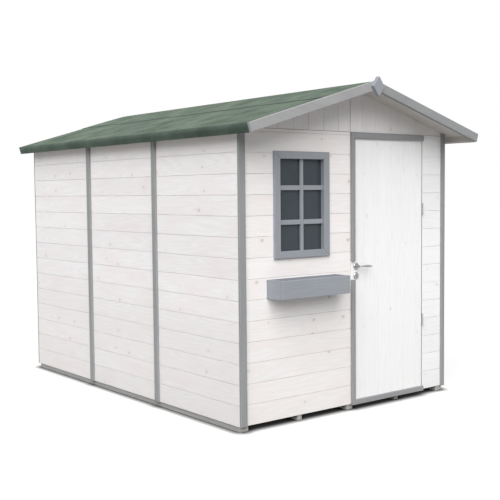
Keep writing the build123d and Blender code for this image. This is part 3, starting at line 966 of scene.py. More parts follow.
@dataclass
class WallCladding:
    """Horizontal boards of the walls, with a V joint between them."""

    mill: BoardMill
    cover: float = BOARD_COVER
    groove: float = 0.0022
    bevel: float = 0.0008

    def build(self) -> None:
        """Clad the four walls."""
        for hand, seed in zip(Hand, (3, 5)):
            self._side(hand, seed)
        self._front()
        self._back()

    def _courses(self, low: Vector, high: Vector) -> list[Triple]:
        """Divide the height of a panel into boards.

        Args:
            low: Lowest corner of the panel.
            high: Highest corner of the panel.

        Returns:
            Foot, middle and head of each board.
        """
        count = math.ceil((high.z - low.z) / self.cover)
        feet = [low.z + self.cover * place for place in range(count)]
        return [(foot, foot + self.cover / 2, foot + self.cover) for foot in feet]

    def _stock(self, thickness: float) -> BoardStock:
        """Section of the boards for one thickness."""
        return BoardStock(thickness, self.cover, self.bevel, self.groove)

    def _side(self, hand: Hand, seed: int) -> None:
        """Clad one side wall in its three panels.

        Args:
            hand: Side of the shed.
            seed: Seed of the boards' tones.
        """
        nodes = [f"{hand.label}_wall_{place}_panel" for place in ("front", "middle", "rear")]
        runs = []
        for node in nodes:
            low, high = corners(node)
            x = (low.x + high.x) / 2
            for _, middle, _ in self._courses(low, high):
                runs.append(BoardRun(Vector((x, low.y, middle)), Vector((x, high.y, middle))))
        finish = WHITEWASHED_SPRUCE.material(Grain.ALONG_Y)
        stock = self._stock(high.x - low.x)
        boards = self.mill.cut(f"{hand.label}_wall_boards", runs, stock, finish, seed, under_roof=True)
        settle(boards, Body.SHED, Slot.CLADDING, *nodes)

    def _front(self) -> None:
        """Clad the front beside the door, with the window left open."""
        low, high = corners("front_window_panel")
        courses = self._courses(low, high)
        stock = self._stock(high.y - low.y)
        runs = [piece for course in courses for piece in self._round_window(low, high, course)]
        finish = CREAM_WASHED_SPRUCE.material(Grain.ALONG_X)
        boards = self.mill.cut("front_wall_boards", runs, stock, finish, seed=11)
        settle(boards, Body.SHED, Slot.CLADDING, "front_window_panel")
        low, high = corners("front_hinge_panel")
        runs = [self._run(low, high, middle) for _, middle, _ in courses]
        finish = TWICE_WASHED_SPRUCE.material(Grain.ALONG_X)
        boards = self.mill.cut("hinge_panel_boards", runs, stock, finish, seed=13)
        settle(boards, Body.SHED, Slot.CLADDING, "front_hinge_panel")

    def _run(self, low: Vector, high: Vector, middle: float) -> BoardRun:
        """Lay one board across a front or back panel.

        Args:
            low: Lowest corner of the panel.
            high: Highest corner of the panel.
            middle: Height of the board's middle.

        Returns:
            The board, trimmed to the panel's foot and head.
        """
        y = (low.y + high.y) / 2
        start, end = Vector((low.x, y, middle)), Vector((high.x, y, middle))
        return BoardRun(start, end, (-FAR, -FAR, low.z), (FAR, FAR, high.z))

    def _round_window(self, low: Vector, high: Vector, course: Triple) -> list[BoardRun]:
        """Rip and cut one board of the window panel round the opening.

        Args:
            low: Lowest corner of the panel.
            high: Highest corner of the panel.
            course: Foot, middle and head of the board.

        Returns:
            The pieces of the board.
        """
        foot, middle, head = course
        whole = self._run(low, high, middle)
        hole_low, hole_high = corners("window_sash")
        if head <= hole_low.z or foot >= hole_high.z:
            return [whole]
        left, right = [Vector((x, whole.start.y, middle)) for x in (hole_low.x, hole_high.x)]
        pieces = [replace(whole, end=left), replace(whole, start=right)]
        if foot < hole_low.z:
            pieces.append(replace(whole, start=left, end=right, high=(FAR, FAR, hole_low.z)))
        if head > hole_high.z:
            pieces.append(replace(whole, start=left, end=right, low=(-FAR, -FAR, hole_high.z)))
        return pieces

    def _back(self) -> None:
        """Clad the back in its two panels."""
        low, high = corners("back_wall_panels")
        runs = []
        for left, right in ((low.x, 0.0), (0.0, high.x)):
            ends = Vector((left, low.y, low.z)), Vector((right, high.y, high.z))
            runs += [self._run(*ends, middle) for _, middle, _ in self._courses(low, high)]
        finish = WHITEWASHED_SPRUCE.material(Grain.ALONG_X)
        boards = self.mill.cut("back_wall_boards", runs, self._stock(high.y - low.y), finish, seed=17)
        settle(boards, Body.SHED, Slot.CLADDING, "back_wall_panels")


@dataclass
class GableCladding:
    """Upright boards of the gables, ripped beside the joint in the middle and cut to the roof."""

    mill: BoardMill
    width: float = 0.1365
    ripped_width: float = 0.1155
    joint: float = 0.0028
    foot_gap: float = 0.003
    grooves: Span = (0.0020, 0.0009)
    bevel: float = 0.0006

    def build(self) -> None:
        """Clad both gables, the half over the door more closely."""
        finish = WHITEWASHED_SPRUCE.material(Grain.ALONG_Z)
        for node, seed in (("front_gable_panels", 23), ("back_gable_panels", 29)):
            low, high = corners(node)
            for hand, groove in zip(Hand, self.grooves):
                stock = BoardStock(high.y - low.y, self.width, self.bevel, groove, QUARTER)
                name = node.replace("panels", f"boards_{hand.label}")
                runs = self._half(hand, low, high)
                boards = self.mill.cut(name, runs, stock, finish, seed, under_roof=True)
                settle(boards, Body.SHED, Slot.CLADDING, *((node,) if hand is Hand.LEFT else ()))

    def _half(self, hand: Hand, low: Vector, high: Vector) -> list[BoardRun]:
        """Lay the boards of one half of a gable.

        Args:
            hand: Side of the ridge.
            low: Lowest corner of the gable.
            high: Highest corner of the gable.

        Returns:
            The boards.
        """
        runs = []
        y, foot = (low.y + high.y) / 2, low.z + self.foot_gap
        left, right = sorted((hand.value * self.joint, hand.value * high.x))
        inner = self.ripped_width - self.width
        while inner < high.x:
            x = hand.value * (inner + self.width / 2)
            ends = Vector((x, y, foot)), Vector((x, y, high.z))
            runs.append(BoardRun(*ends, (left, -FAR, foot), (right, FAR, FAR)))
            inner += self.width
        return runs


@dataclass
class DoorLeaf:
    """Upright boards of the door, closely jointed."""

    mill: BoardMill
    width: float = 0.135
    hinge_ease: float = 0.006
    groove: float = 0.0014
    bevel: float = 0.0005

    def build(self) -> None:
        """Board the leaf, planed back on the hinge side so that its gap shows, and finish what is on it."""
        low, high = corners("door_leaf")
        high.x -= self.hinge_ease
        runs = self.mill.row(low, high, self.width, Grain.ALONG_Z)
        stock = BoardStock(high.y - low.y, self.width, self.bevel, self.groove, QUARTER)
        finish = TWICE_WASHED_SPRUCE.material(Grain.ALONG_Z)
        boards = self.mill.cut("door_boards", runs, stock, finish, seed=31)
        settle(boards, Body.DOOR, Slot.CLADDING, "door_leaf")
        dress(BARE_SPRUCE.material(Grain.ALONG_X), "door_ledges")
        dress(GREY_STAINED_SPRUCE.material(Grain.ALONG_Z), "door_latch_strip")
        dress(GREY_STAINED_SPRUCE.material(Grain.ALONG_X), "door_cross_strips")


@dataclass
class Flooring:
    """Floor boards on the bearers."""

    mill: BoardMill
    width: float = 0.121
    groove: float = 0.0012
    bevel: float = 0.0006

    def build(self) -> None:
        """Lay the floor and finish its bearers."""
        low, high = corners("floor_deck")
        runs = self.mill.row(low, high, self.width, Grain.ALONG_Y)
        stock = BoardStock(high.z - low.z, self.width, self.bevel, self.groove, QUARTER)
        boards = self.mill.cut("floor_boards", runs, stock, BARE_SPRUCE.material(Grain.ALONG_Y), seed=37)
        settle(boards, Body.SHED, Slot.FRAME, "floor_deck")
        dress(TREATED_PINE.material(Grain.ALONG_Y), "floor_bearers")


@dataclass
class RoofBoarding:
    """Boards under the felt, which show from below at the overhangs.

    They end at the battens that the felt's fold leaves room for.
    """

    mill: BoardMill
    rows: int = 9
    batten_width: float = 0.027
    groove: float = 0.0018
    bevel: float = 0.0008

    def build(self) -> None:
        """Board both slopes and finish the timbers that carry and edge them."""
        for hand in Hand:
            self._slope(hand)
        angle = self.mill.roof.angle
        dress(BARE_SPRUCE.material(Grain.ALONG_Y), "roof_beams")
        dress(SOFFIT_SHADED_SPRUCE.material(Grain.ALONG_Y), "roof_edge_boards")
        dress(WEATHERED_SPRUCE.material(Grain.ALONG_X, -angle), "bargeboard_left")
        dress(GREY_STAINED_SPRUCE.material(Grain.ALONG_X, angle), "bargeboard_right")
        dress(BLUE_STAINED_SPRUCE.material(Grain.ALONG_Z), "finial")

    def _slope(self, hand: Hand) -> None:
        """Lay the boards of one slope from the ridge down.

        Args:
            hand: Side of the ridge.
        """
        node = f"roof_deck_{hand.label}"
        low, high = corners(node)
        slope = SlopeFrame(hand, high.z, self.mill.roof.angle)
        thick = (high.z - self.mill.roof.apex) * math.cos(slope.angle)
        length = max(abs(low.x), abs(high.x)) / math.cos(slope.angle) - self.batten_width
        width = length / self.rows
        left, right = sorted((0.0, hand.value * FAR))
        runs = []
        for row in range(self.rows):
            ends = [slope.point(width * (row + 0.5), y, -thick / 2) for y in (low.y, high.y)]
            runs.append(BoardRun(*ends, (left, -FAR, -FAR), (right, FAR, FAR)))
        stock = BoardStock(thick, width, self.bevel, self.groove, QUARTER + hand.value * slope.angle)
        finish = SOFFIT_SHADED_SPRUCE.material(Grain.ALONG_Y)
        boards = self.mill.cut(f"roof_boards_{hand.label}", runs, stock, finish, seed=41 + hand.value)
        settle(boards, Body.SHED, Slot.CLADDING, node)


@dataclass
class FeltRoof:
    """Felt folded round the eaves, turned down at the back, with a run over the ridge.

    Its rates say how many times finer a second wave is, its weights how far each run may swell.
    """

    roof: RoofLine
    thickness: float = 0.003
    fold_radius: float = 0.030
    fold_steps: int = 8
    fold_wander: float = 0.006
    wander_rate: float = 1.6
    back_radius: float = 0.007
    back_steps: int = 6
    ridge_radius: float = 0.009
    cap_run: float = 0.48
    step: float = 0.035
    swell: float = 0.0035
    swell_length: float = 0.45
    ripple_rate: float = 2.7
    slope_weight: float = 0.4
    cap_weight: float = 0.35
    back_weight: float = 0.3
    sharp_angle: float = 40.0
    bead_width: float = 0.010
    bead_height: float = 0.004
    front: float = field(init=False)
    back: float = field(init=False)
    ridge: float = field(init=False)
    outer: float = field(init=False)
    foot: float = field(init=False)
    slopes: dict[Hand, SlopeFrame] = field(init=False)

    def __post_init__(self) -> None:
        """Take the roof's ends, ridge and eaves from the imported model."""
        deck_low, deck_high = corners("roof_deck_right")
        angle = self.roof.angle
        self.front, self.back, self.ridge = deck_low.y, deck_high.y, deck_high.z
        length = deck_high.x / math.cos(angle)
        self.outer = length + self.thickness
        fall = self.ridge - length * math.sin(angle) - corners("felt_right")[0].z
        self.foot = -fall / math.cos(angle)
        self.slopes = {hand: SlopeFrame(hand, self.ridge, angle) for hand in Hand}

    def build(self, mill: BoardMill, finish: Material) -> None:
        """Lay the felt, the battens that it bends over and black beads along its laps, which draw painted
        shade lines there.

        Args:
            mill: Mill that runs the beads.
            finish: The felt's material.
        """
        sheets = [(f"felt_slope_{hand.label}", self._slope(hand), (f"felt_{hand.label}",)) for hand in Hand]
        sheets.append(("felt_cap", self._cap(), ("felt_ridge_cap",)))
        for hand, nodes in zip(Hand, (("felt_back_fold",), ())):
            sheets.append((f"felt_back_edge_{hand.label}", self._back_fold(hand), nodes))
        for name, rows, nodes in sheets:
            loops = [[upper for upper, _ in row] + [lower for _, lower in reversed(row)] for row in rows]
            sheet = skin(name, [loops], finish, self.sharp_angle, strips=True)
            settle(sheet, Body.SHED, Slot.FELT, *nodes)
        for hand in Hand:
            self._batten(hand)
        self._beads(mill)

    def _batten(self, hand: Hand) -> None:
        """Set the slanted edge batten that the felt bends over at one eave.

        Args:
            hand: Side of the ridge.
        """
        start = self.outer - self.fold_radius
        thick = (self.ridge - self.roof.apex) * math.cos(self.roof.angle)
        section = ((start, 0.0), (self.outer - self.thickness, -thick), (start, -thick))
        point = self.slopes[hand].point
        loops = [[point(along, y, off) for along, off in section] for y in (self.front, self.back)]
        batten = skin(f"eave_batten_{hand.label}", [loops], SOFFIT_SHADED_SPRUCE.material(Grain.ALONG_Y))
        settle(batten, Body.SHED, Slot.CLADDING)

    def _stations(self, start: float, end: float) -> list[float]:
        """Evenly spaced places between two ends."""
        count = max(2, round(abs(end - start) / self.step))
        return [start + (end - start) * place / count for place in range(count + 1)]

    def _swell(self, along: float, y: float, weight: float) -> float:
        """Raise the felt in soft waves.

        Args:
            along: Distance down the slope.
            y: Place from the front to the back.
            weight: Share of the full swell.

        Returns:
            The height of the waves there.
        """
        place = Vector((along / self.swell_length, y / self.swell_length, 0.0))
        wave = noise.noise(place) + 0.5 * noise.noise(place * self.ripple_rate)
        return self.swell * weight * max(0.0, 0.5 + 0.5 * wave)

    def _section(self, radius: float) -> list[tuple[float, float, float, float, float]]:
        """Section of a slope for one radius of the fold.

        Args:
            radius: Outer radius of the fold.

        Returns:
            Along, off, the outward direction and how far the felt may swell, for each place.
        """
        end, centre = self.outer - radius, self.thickness - radius
        straight = [along * end / self.outer for along in self._stations(0.0, self.outer)]
        section = [(along, self.thickness, 0.0, 1.0, self.slope_weight) for along in straight]
        for place in range(1, self.fold_steps + 1):
            angle = QUARTER * place / self.fold_steps
            out, up = math.sin(angle), math.cos(angle)
            section.append((end + radius * out, centre + radius * up, out, up, 1.0))
        return section + [(self.outer, off, 1.0, 0.0, 1.0) for off in ((centre + self.foot) / 2, self.foot)]

    def _slope(self, hand: Hand) -> list[list[list[Vector]]]:
        """Lay the felt of one slope.

        Args:
            hand: Side of the ridge.

        Returns:
            Rows of its upper and lower points.
        """
        rows, point = [], self.slopes[hand].point
        for y in self._stations(self.front, self.back + self.thickness - self.back_radius):
            wander = noise.noise(Vector((hand.value * FAR, self.wander_rate * y / self.swell_length, 0.0)))
            row = []
            for along, off, out, up, weight in self._section(self.fold_radius + self.fold_wander * wander):
                rise = self._swell(along + off, y + hand.value * FAR, weight)
                lifts = (rise, rise - self.thickness)
                row.append([point(along + out * lift, y, off + up * lift) for lift in lifts])
            rows.append(row)
        return rows

    def _cap(self) -> list[list[list[Vector]]]:
        """Lay the run over the ridge, eased where it bends.

        Returns:
            Rows of its upper and lower points.
        """
        places = self._stations(-self.cap_run, 0.0) + self._stations(0.0, self.cap_run)[1:]
        rows = []
        for y in self._stations(self.front, self.back + self.thickness):
            row = []
            for along in places:
                slope = self.slopes[Hand.LEFT if along < 0 else Hand.RIGHT]
                eased = math.hypot(along, self.ridge_radius) - abs(along)
                rise = self._swell(along, y, self.cap_weight) * min(1.0, abs(along) / self.cap_run * 2)
                offs = (2 * self.thickness, self.thickness)
                pair = [slope.point(abs(along), y, off + rise) for off in offs]
                for point in pair:
                    point.x = point.x if along else 0.0
                    point.z -= eased * self.roof.fall
                row.append(pair)
            rows.append(row)
        return rows

    def _back_fold(self, hand: Hand) -> list[list[list[Vector]]]:
        """Turn the felt of one slope down over the back edge.

        Args:
            hand: Side of the ridge.

        Returns:
            Rows of its upper and lower points.
        """
        centre = self.thickness - self.back_radius
        section = []
        for place in range(self.back_steps + 1):
            angle = QUARTER * place / self.back_steps
            out, up = math.sin(angle), math.cos(angle)
            y = self.back + centre + self.back_radius * out
            section.append((y, centre + self.back_radius * up, out, up))
        lower = self._stations(centre, self.foot)[1:]
        section += [(self.back + self.thickness, off, 1.0, 0.0) for off in lower]
        rows = []
        for along in self._stations(0.0, self.outer):
            row = []
            for y, off, out, up in section:
                rise = self._swell(along, y + off, self.back_weight * out)
                lifts = (rise, rise - self.thickness)
                pair = [self.slopes[hand].point(along, y + out * lift, off + up * lift) for lift in lifts]
                for point in pair:
                    point.x = 0.0 if hand.value * point.x < 0 or along == 0 else point.x
                row.append(pair)
            rows.append(row)
        return rows

    def _beads(self, mill: BoardMill) -> None:
        """Run a black bead along each lower edge of the ridge run, as painted shade under the lap's edge.

        Args:
            mill: Mill that runs them.
        """
        finish = LAP_SHADE_BLACK.material()
        along, off = self.cap_run + self.bead_width / 4, self.thickness + self.bead_height / 2
        for hand, slope in self.slopes.items():
            run = BoardRun(*[slope.point(along, y, off) for y in (self.front, self.back)])
            tilt = QUARTER + hand.value * slope.angle
            stock = BoardStock(self.bead_height, self.bead_width, self.bead_height / 3, tilt=tilt)
            bead = mill.cut(f"lap_bead_{hand.label}", [run], stock, finish, seed=47)
            settle(bead, Body.SHED, Slot.FELT)


@dataclass
class Window:
    """Window of the front wall: glazing bars in front of the pane, and its frame."""

    mill: BoardMill
    upright_width: float = 0.025
    upright_shift: float = 0.0075
    cross_width: float = 0.032
    bevel: float = 0.0015
    cross_shares: Span = (0.313, 0.688)

    def build(self) -> None:
        """Make the bars and finish the pane, the sash and the casing."""
        upright, level = [BLUE_STAINED_SPRUCE.material(grain) for grain in (Grain.ALONG_Z, Grain.ALONG_X)]
        low, high = corners("window_glass")
        face = corners("window_sash")[0].y
        thick = low.y - face
        y = face + thick / 2
        middle = (low.x + high.x) / 2 + self.upright_shift
        run = BoardRun(Vector((middle, y, low.z)), Vector((middle, y, high.z)))
        stock = BoardStock(thick, self.upright_width, self.bevel, tilt=QUARTER)
        bar = self.mill.cut("window_upright_bar", [run], stock, upright, seed=53)
        settle(bar, Body.SHED, Slot.TRIM)
        half = self.upright_width / 2
        runs = []
        for share in self.cross_shares:
            z = low.z + (high.z - low.z) * share
            for start, end in ((low.x, middle - half), (middle + half, high.x)):
                runs.append(BoardRun(Vector((start, y, z)), Vector((end, y, z))))
        stock = BoardStock(thick, self.cross_width, self.bevel)
        bars = self.mill.cut("window_cross_bars", runs, stock, level, seed=59)
        settle(bars, Body.SHED, Slot.TRIM)
        dress(PaneFinish().material(), "window_glass")
        dress(upright, "window_sash", "window_casing_stiles")
        dress(level, "window_casing_rails")


@dataclass
class Trim:
    """Grey strips over the corners and joints, the box under the window, and the bare frame inside."""

    strips: tuple[str, ...] = ("left_wall_cover_strips", "right_wall_cover_strips", "front_corner_strips",
                               "back_wall_strips")
    box_boards: tuple[str, ...] = ("window_box_long_boards", "window_box_floor")

    def build(self) -> None:
        """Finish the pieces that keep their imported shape."""
        dress(GREY_STAINED_SPRUCE.material(Grain.ALONG_Z), *self.strips)
        dress(BLUE_STAINED_SPRUCE.material(Grain.ALONG_X), *self.box_boards)
        dress(BLUE_STAINED_SPRUCE.material(Grain.ALONG_Y), "window_box_ends")
        dress(BARE_SPRUCE.material(Grain.ALONG_Z), "wall_studs")
        dress(BARE_SPRUCE.material(Grain.ALONG_Y), "wall_plates")
        dress(WHITEWASHED_SPRUCE.material(Grain.ALONG_X), "gable_rails")


@dataclass
class LeverHandle:
    """Pair of turned lever grips on one spindle."""

    neck_radius: float = 0.008
    bend_radius: float = 0.011
    root_radius: float = 0.0058
    belly_radius: float = 0.0085
    tip_radius: float = 0.0032
    belly_share: float = 0.62
    droop: float = 0.005
    sides: int = 24
    bend_steps: int = 8
    arm_steps: int = 28
    tip_steps: int = 5
    sharp_angle: float = 50.0

    def build(self) -> None:
        """Make both grips and finish the metal of the door."""
        nickel = SATIN_NICKEL.material()
        low, high = corners("handle_lever")
        rose_low, rose_high = corners("lock_roses")
        axis = Vector((low.x + self.neck_radius, 0.0, (low.z + high.z) / 2))
        reaches = ((rose_low.y, low.y), (rose_high.y, high.y))
        grips = [self._grip(axis, root, end, high.x) for root, end in reaches]
        lever = skin("door_lever", grips, nickel, self.sharp_angle)
        settle(lever, Body.LEVER, Slot.LOCK, "handle_lever")
        dress(nickel, "lock_roses")
        dress(ZINC_STEEL.material(), "hinge_door_leaves", "hinge_wall_leaves")

    def _arm_radius(self, share: float) -> float:
        """Swell the grip, then draw it in to the tip.

        Args:
            share: Share of the grip's length.

        Returns:
            The radius there.
        """
        if share < self.belly_share:
            blended = 0.5 - 0.5 * math.cos(math.pi * share / self.belly_share)
            return self.root_radius + (self.belly_radius - self.root_radius) * blended
        rest = (share - self.belly_share) / (1 - self.belly_share)
        return self.tip_radius + (self.belly_radius - self.tip_radius) * math.cos(QUARTER * rest)

    def _ring(self, middle: Triple, along: Vector, radius: float) -> list[Vector]:
        """Set points in a ring, square to a direction.

        Args:
            middle: Middle of the ring.
            along: The direction.
            radius: Its radius.

        Returns:
            The points.
        """
        up = Vector((0, 0, 1))
        side = up.cross(along)
        angles = [math.tau * place / self.sides for place in range(self.sides)]
        spokes = [side * math.cos(angle) + up * math.sin(angle) for angle in angles]
        return [Vector(middle) + spoke * radius for spoke in spokes]

    def _grip(self, axis: Vector, root: float, end: float, tip: float) -> list[list[Vector]]:
        """Sweep one grip from its rose round the bend and out to the tip.

        Args:
            axis: Place of the spindle in X and Z.
            root: Y of the rose's face.
            end: Y of the grip's outermost side.
            tip: X of the grip's tip.

        Returns:
            Its rings.
        """
        outward = math.copysign(1.0, end - root)
        grip_y = end - outward * self.neck_radius
        bend_y = grip_y - outward * self.bend_radius
        bend_x = axis.x + self.bend_radius
        spindle, arm = Vector((0, outward, 0)), Vector((1, 0, 0))
        rings = [self._ring((axis.x, y, axis.z), spindle, self.neck_radius) for y in (root, bend_y)]
        for place in range(1, self.bend_steps + 1):
            share = place / self.bend_steps
            out, back = math.sin(QUARTER * share), math.cos(QUARTER * share)
            middle = (bend_x - self.bend_radius * back, bend_y + outward * self.bend_radius * out, axis.z)
            radius = self.neck_radius + (self.root_radius - self.neck_radius) * share
            rings.append(self._ring(middle, arm * out + spindle * back, radius))
        arm_end = tip - self.tip_radius
        for place in range(1, self.arm_steps + 1):
            share = place / self.arm_steps
            middle = (bend_x + (arm_end - bend_x) * share, grip_y, axis.z - self.droop * share ** 2)
            rings.append(self._ring(middle, arm, self._arm_radius(share)))
        for place in range(1, self.tip_steps):
            angle = QUARTER * place / self.tip_steps
            middle = (arm_end + self.tip_radius * math.sin(angle), grip_y, axis.z - self.droop)
            rings.append(self._ring(middle, arm, self.tip_radius * math.cos(angle)))
        return rings


@dataclass
class LockCase:
    """Dark plates just behind the faces of the two keyholes: painted shade of the holes."""

    rose_radius: float = 0.025
    hole_radius: float = 0.0039
    slot_width: float = 0.0038
    slot_drop: float = 0.0108
    recess: float = 0.0012
    thickness: float = 0.0025
    arc_steps: int = 16

    def build(self) -> None:
        """Set a dark plate in each keyhole, back from the rose's face, as painted shade of the hole."""
        low, high = corners("lock_roses")
        x, z = (low.x + high.x) / 2, low.z + self.rose_radius
        shells = []
        for face, inward in ((low.y, 1.0), (high.y, -1.0)):
            depths = [face + inward * depth for depth in (self.recess, self.recess + self.thickness)]
            shells.append([[Vector((x + out, y, z + up)) for out, up in self._outline()] for y in depths])
        settle(skin("lock_plates", shells, KEYHOLE_SHADE_BLACK.material()), Body.DOOR, Slot.LOCK)

    def _outline(self) -> list[tuple[float, float]]:
        """Draw a keyhole about the middle of its round part.

        Returns:
            Its outline in X and Z.
        """
        half = self.slot_width / 2
        start = -math.asin(math.sqrt(1 - (half / self.hole_radius) ** 2))
        sweep = math.pi - 2 * start
        angles = [start + sweep * place / self.arc_steps for place in range(self.arc_steps + 1)]
        arc = [(self.hole_radius * math.cos(angle), self.hole_radius * math.sin(angle)) for angle in angles]
        return [(half, -self.slot_drop), *arc, (-half, -self.slot_drop)]


@dataclass(frozen=True)
class ScrewLine:
    """Row of evenly spaced screws on a line, with a gap to each end of it."""

    start: Triple
    end: Triple
    facing: Triple = (0, -1, 0)
    gap: float = SCREW_GAP
    count: int = 5

    def places(self) -> list[Vector]:
        """Space the screws.

        Returns:
            The places of their heads.
        """
        start, end = Vector(self.start), Vector(self.end)
        inset = (end - start).normalized() * self.gap
        shares = [place / (self.count - 1) for place in range(self.count)]
        return [(start + inset).lerp(end - inset, share) for share in shares]


class ScrewSetter:
    """Sets low round heads on surfaces with Geometry Nodes."""

    def __init__(self, crown_share: float = 0.72) -> None:
        """Lay out the tree.

        Args:
            crown_share: Radius of a head's crown, as a share of the head's own.
        """
        sizes = {"Radius": "Float", "Height": "Float", "Sides": "Int"}
        self.tree, given = start_tree("fastener_setter", sizes)
        tree = self.tree
        crown = maths(tree, "MULTIPLY", given["Radius"], crown_share)
        cone = {"Vertices": given["Sides"], "Radius Top": crown, "Radius Bottom": given["Radius"]}
        head = add_node(tree, "GeometryNodeMeshCone", {**cone, "Depth": given["Height"]})
        mark = {"Name": FACING}
        facing = add_node(tree, "GeometryNodeInputNamedAttribute", mark, data_type="FLOAT_VECTOR")
        turn = add_node(tree, "FunctionNodeAlignRotationToVector", {"Vector": facing}, axis="Z")
        points = {"Points": given["Geometry"], "Instance": head, "Rotation": turn}
        end_tree(tree, given, add_node(tree, "GeometryNodeInstanceOnPoints", points))

    def set(self, name: str, lines: list[ScrewLine], inputs: dict[str, object]) -> Piece:
        """Set heads of one size.

        Args:
            name: Name of the piece.
            lines: Their rows.
            inputs: Radius, height, number of sides and material of a head.

        Returns:
            The heads as one object.
        """
        points = [point for line in lines for point in line.places()]
        facings = [line.facing for line in lines for _ in range(line.count)]
        return grow(name, self.tree, points, [], {FACING: facings}, inputs)


@dataclass
class Fastenings:
    """Screws in the strips and boards of the trim."""

    setter: ScrewSetter
    roof: RoofLine
    radius: float = 0.0031
    height: float = 0.0008
    sides: int = 12
    corner_strip_widths: Span = (0.053, 0.036)
    cover_strip_width: float = 0.050
    latch_strip_width: float = 0.030
    casing_width: float = 0.051

    def build(self) -> None:
        """Drive the screws of the shed and of the door."""
        head = {"Radius": self.radius, "Height": self.height, "Sides": self.sides}
        head["Material"] = STAINLESS_STEEL.material()
        shed = self._strips() + self._bargeboards() + self._window()
        settle(self.setter.set("trim_screws", shed, head), Body.SHED, Slot.HINGE)
        settle(self.setter.set("door_strip_screws", self._door(), head), Body.DOOR, Slot.HINGE)

    def _strips(self) -> list[ScrewLine]:
        """Line up the screws of the strips over the corners and joints.

        Returns:
            Their rows.
        """
        lines = []
        half = self.cover_strip_width / 2
        for hand in Hand:
            low, high = corners(f"{hand.label}_wall_cover_strips")
            x = high.x if hand is Hand.RIGHT else low.x
            for y in (low.y + half, high.y - half):
                lines.append(ScrewLine((x, y, low.z), (x, y, high.z), (hand.value, 0, 0)))
        left, right = self.corner_strip_widths
        for node, outward in (("front_corner_strips", -1), ("back_wall_strips", 1)):
            low, high = corners(node)
            y = low.y if outward < 0 else high.y
            for x in [low.x + left / 2, high.x - right / 2] + ([0.0] if outward > 0 else []):
                lines.append(ScrewLine((x, y, low.z), (x, y, high.z), (0, outward, 0)))
        return lines

    def _bargeboards(self) -> list[ScrewLine]:
        """Line up the screws of the bargeboards along the middle of each.

        Returns:
            Their rows.
        """
        lines = []
        for hand in Hand:
            low, high = corners(f"bargeboard_{hand.label}")
            reach = max(abs(low.x), abs(high.x))
            top = high.z - (high.z - low.z - reach * self.roof.fall) / 2
            spots = (SCREW_GAP, reach - SCREW_GAP)
            ends = [(hand.value * x, low.y, top - x * self.roof.fall) for x in spots]
            lines.append(ScrewLine(*ends, gap=0.0))
        return lines

    def _window(self) -> list[ScrewLine]:
        """Line up the screws of the window casing, two in each board, and of the box below it.

        Returns:
            Their rows.
        """
        low, high = corners("window_casing_stiles")
        half, y = self.casing_width / 2, low.y
        ends = [((x, y, low.z), (x, y, high.z)) for x in (low.x + half, high.x - half)]
        ends += [((low.x, y, z), (high.x, y, z)) for z in (low.z + half, high.z - half)]
        lines = [ScrewLine(*pair, gap=2 * SCREW_GAP, count=2) for pair in ends]
        low, high = corners("window_box_long_boards")
        half, gap = (corners("window_box_ends")[0].y - low.y) / 2, (high.z - low.z) / 4
        for x in (low.x + half, high.x - half):
            lines.append(ScrewLine((x, low.y, low.z), (x, low.y, high.z), gap=gap, count=2))
        return lines

    def _door(self) -> list[ScrewLine]:
        """Line up the screws of the strips on the door.

        Returns:
            Their rows.
        """
        low, high = corners("door_latch_strip")
        rose_low, rose_high = corners("lock_roses")
        x, y, half = low.x + self.latch_strip_width / 2, low.y, (high.x - low.x) / 2
        spans = ((low.z, rose_low.z), (rose_high.z, high.z))
        lines = [ScrewLine((x, y, foot), (x, y, head)) for foot, head in spans]
        low, high = corners("door_cross_strips")
        for z in (low.z + half, high.z - half):
            lines.append(ScrewLine((low.x, low.y, z), (high.x, low.y, z)))
        return lines


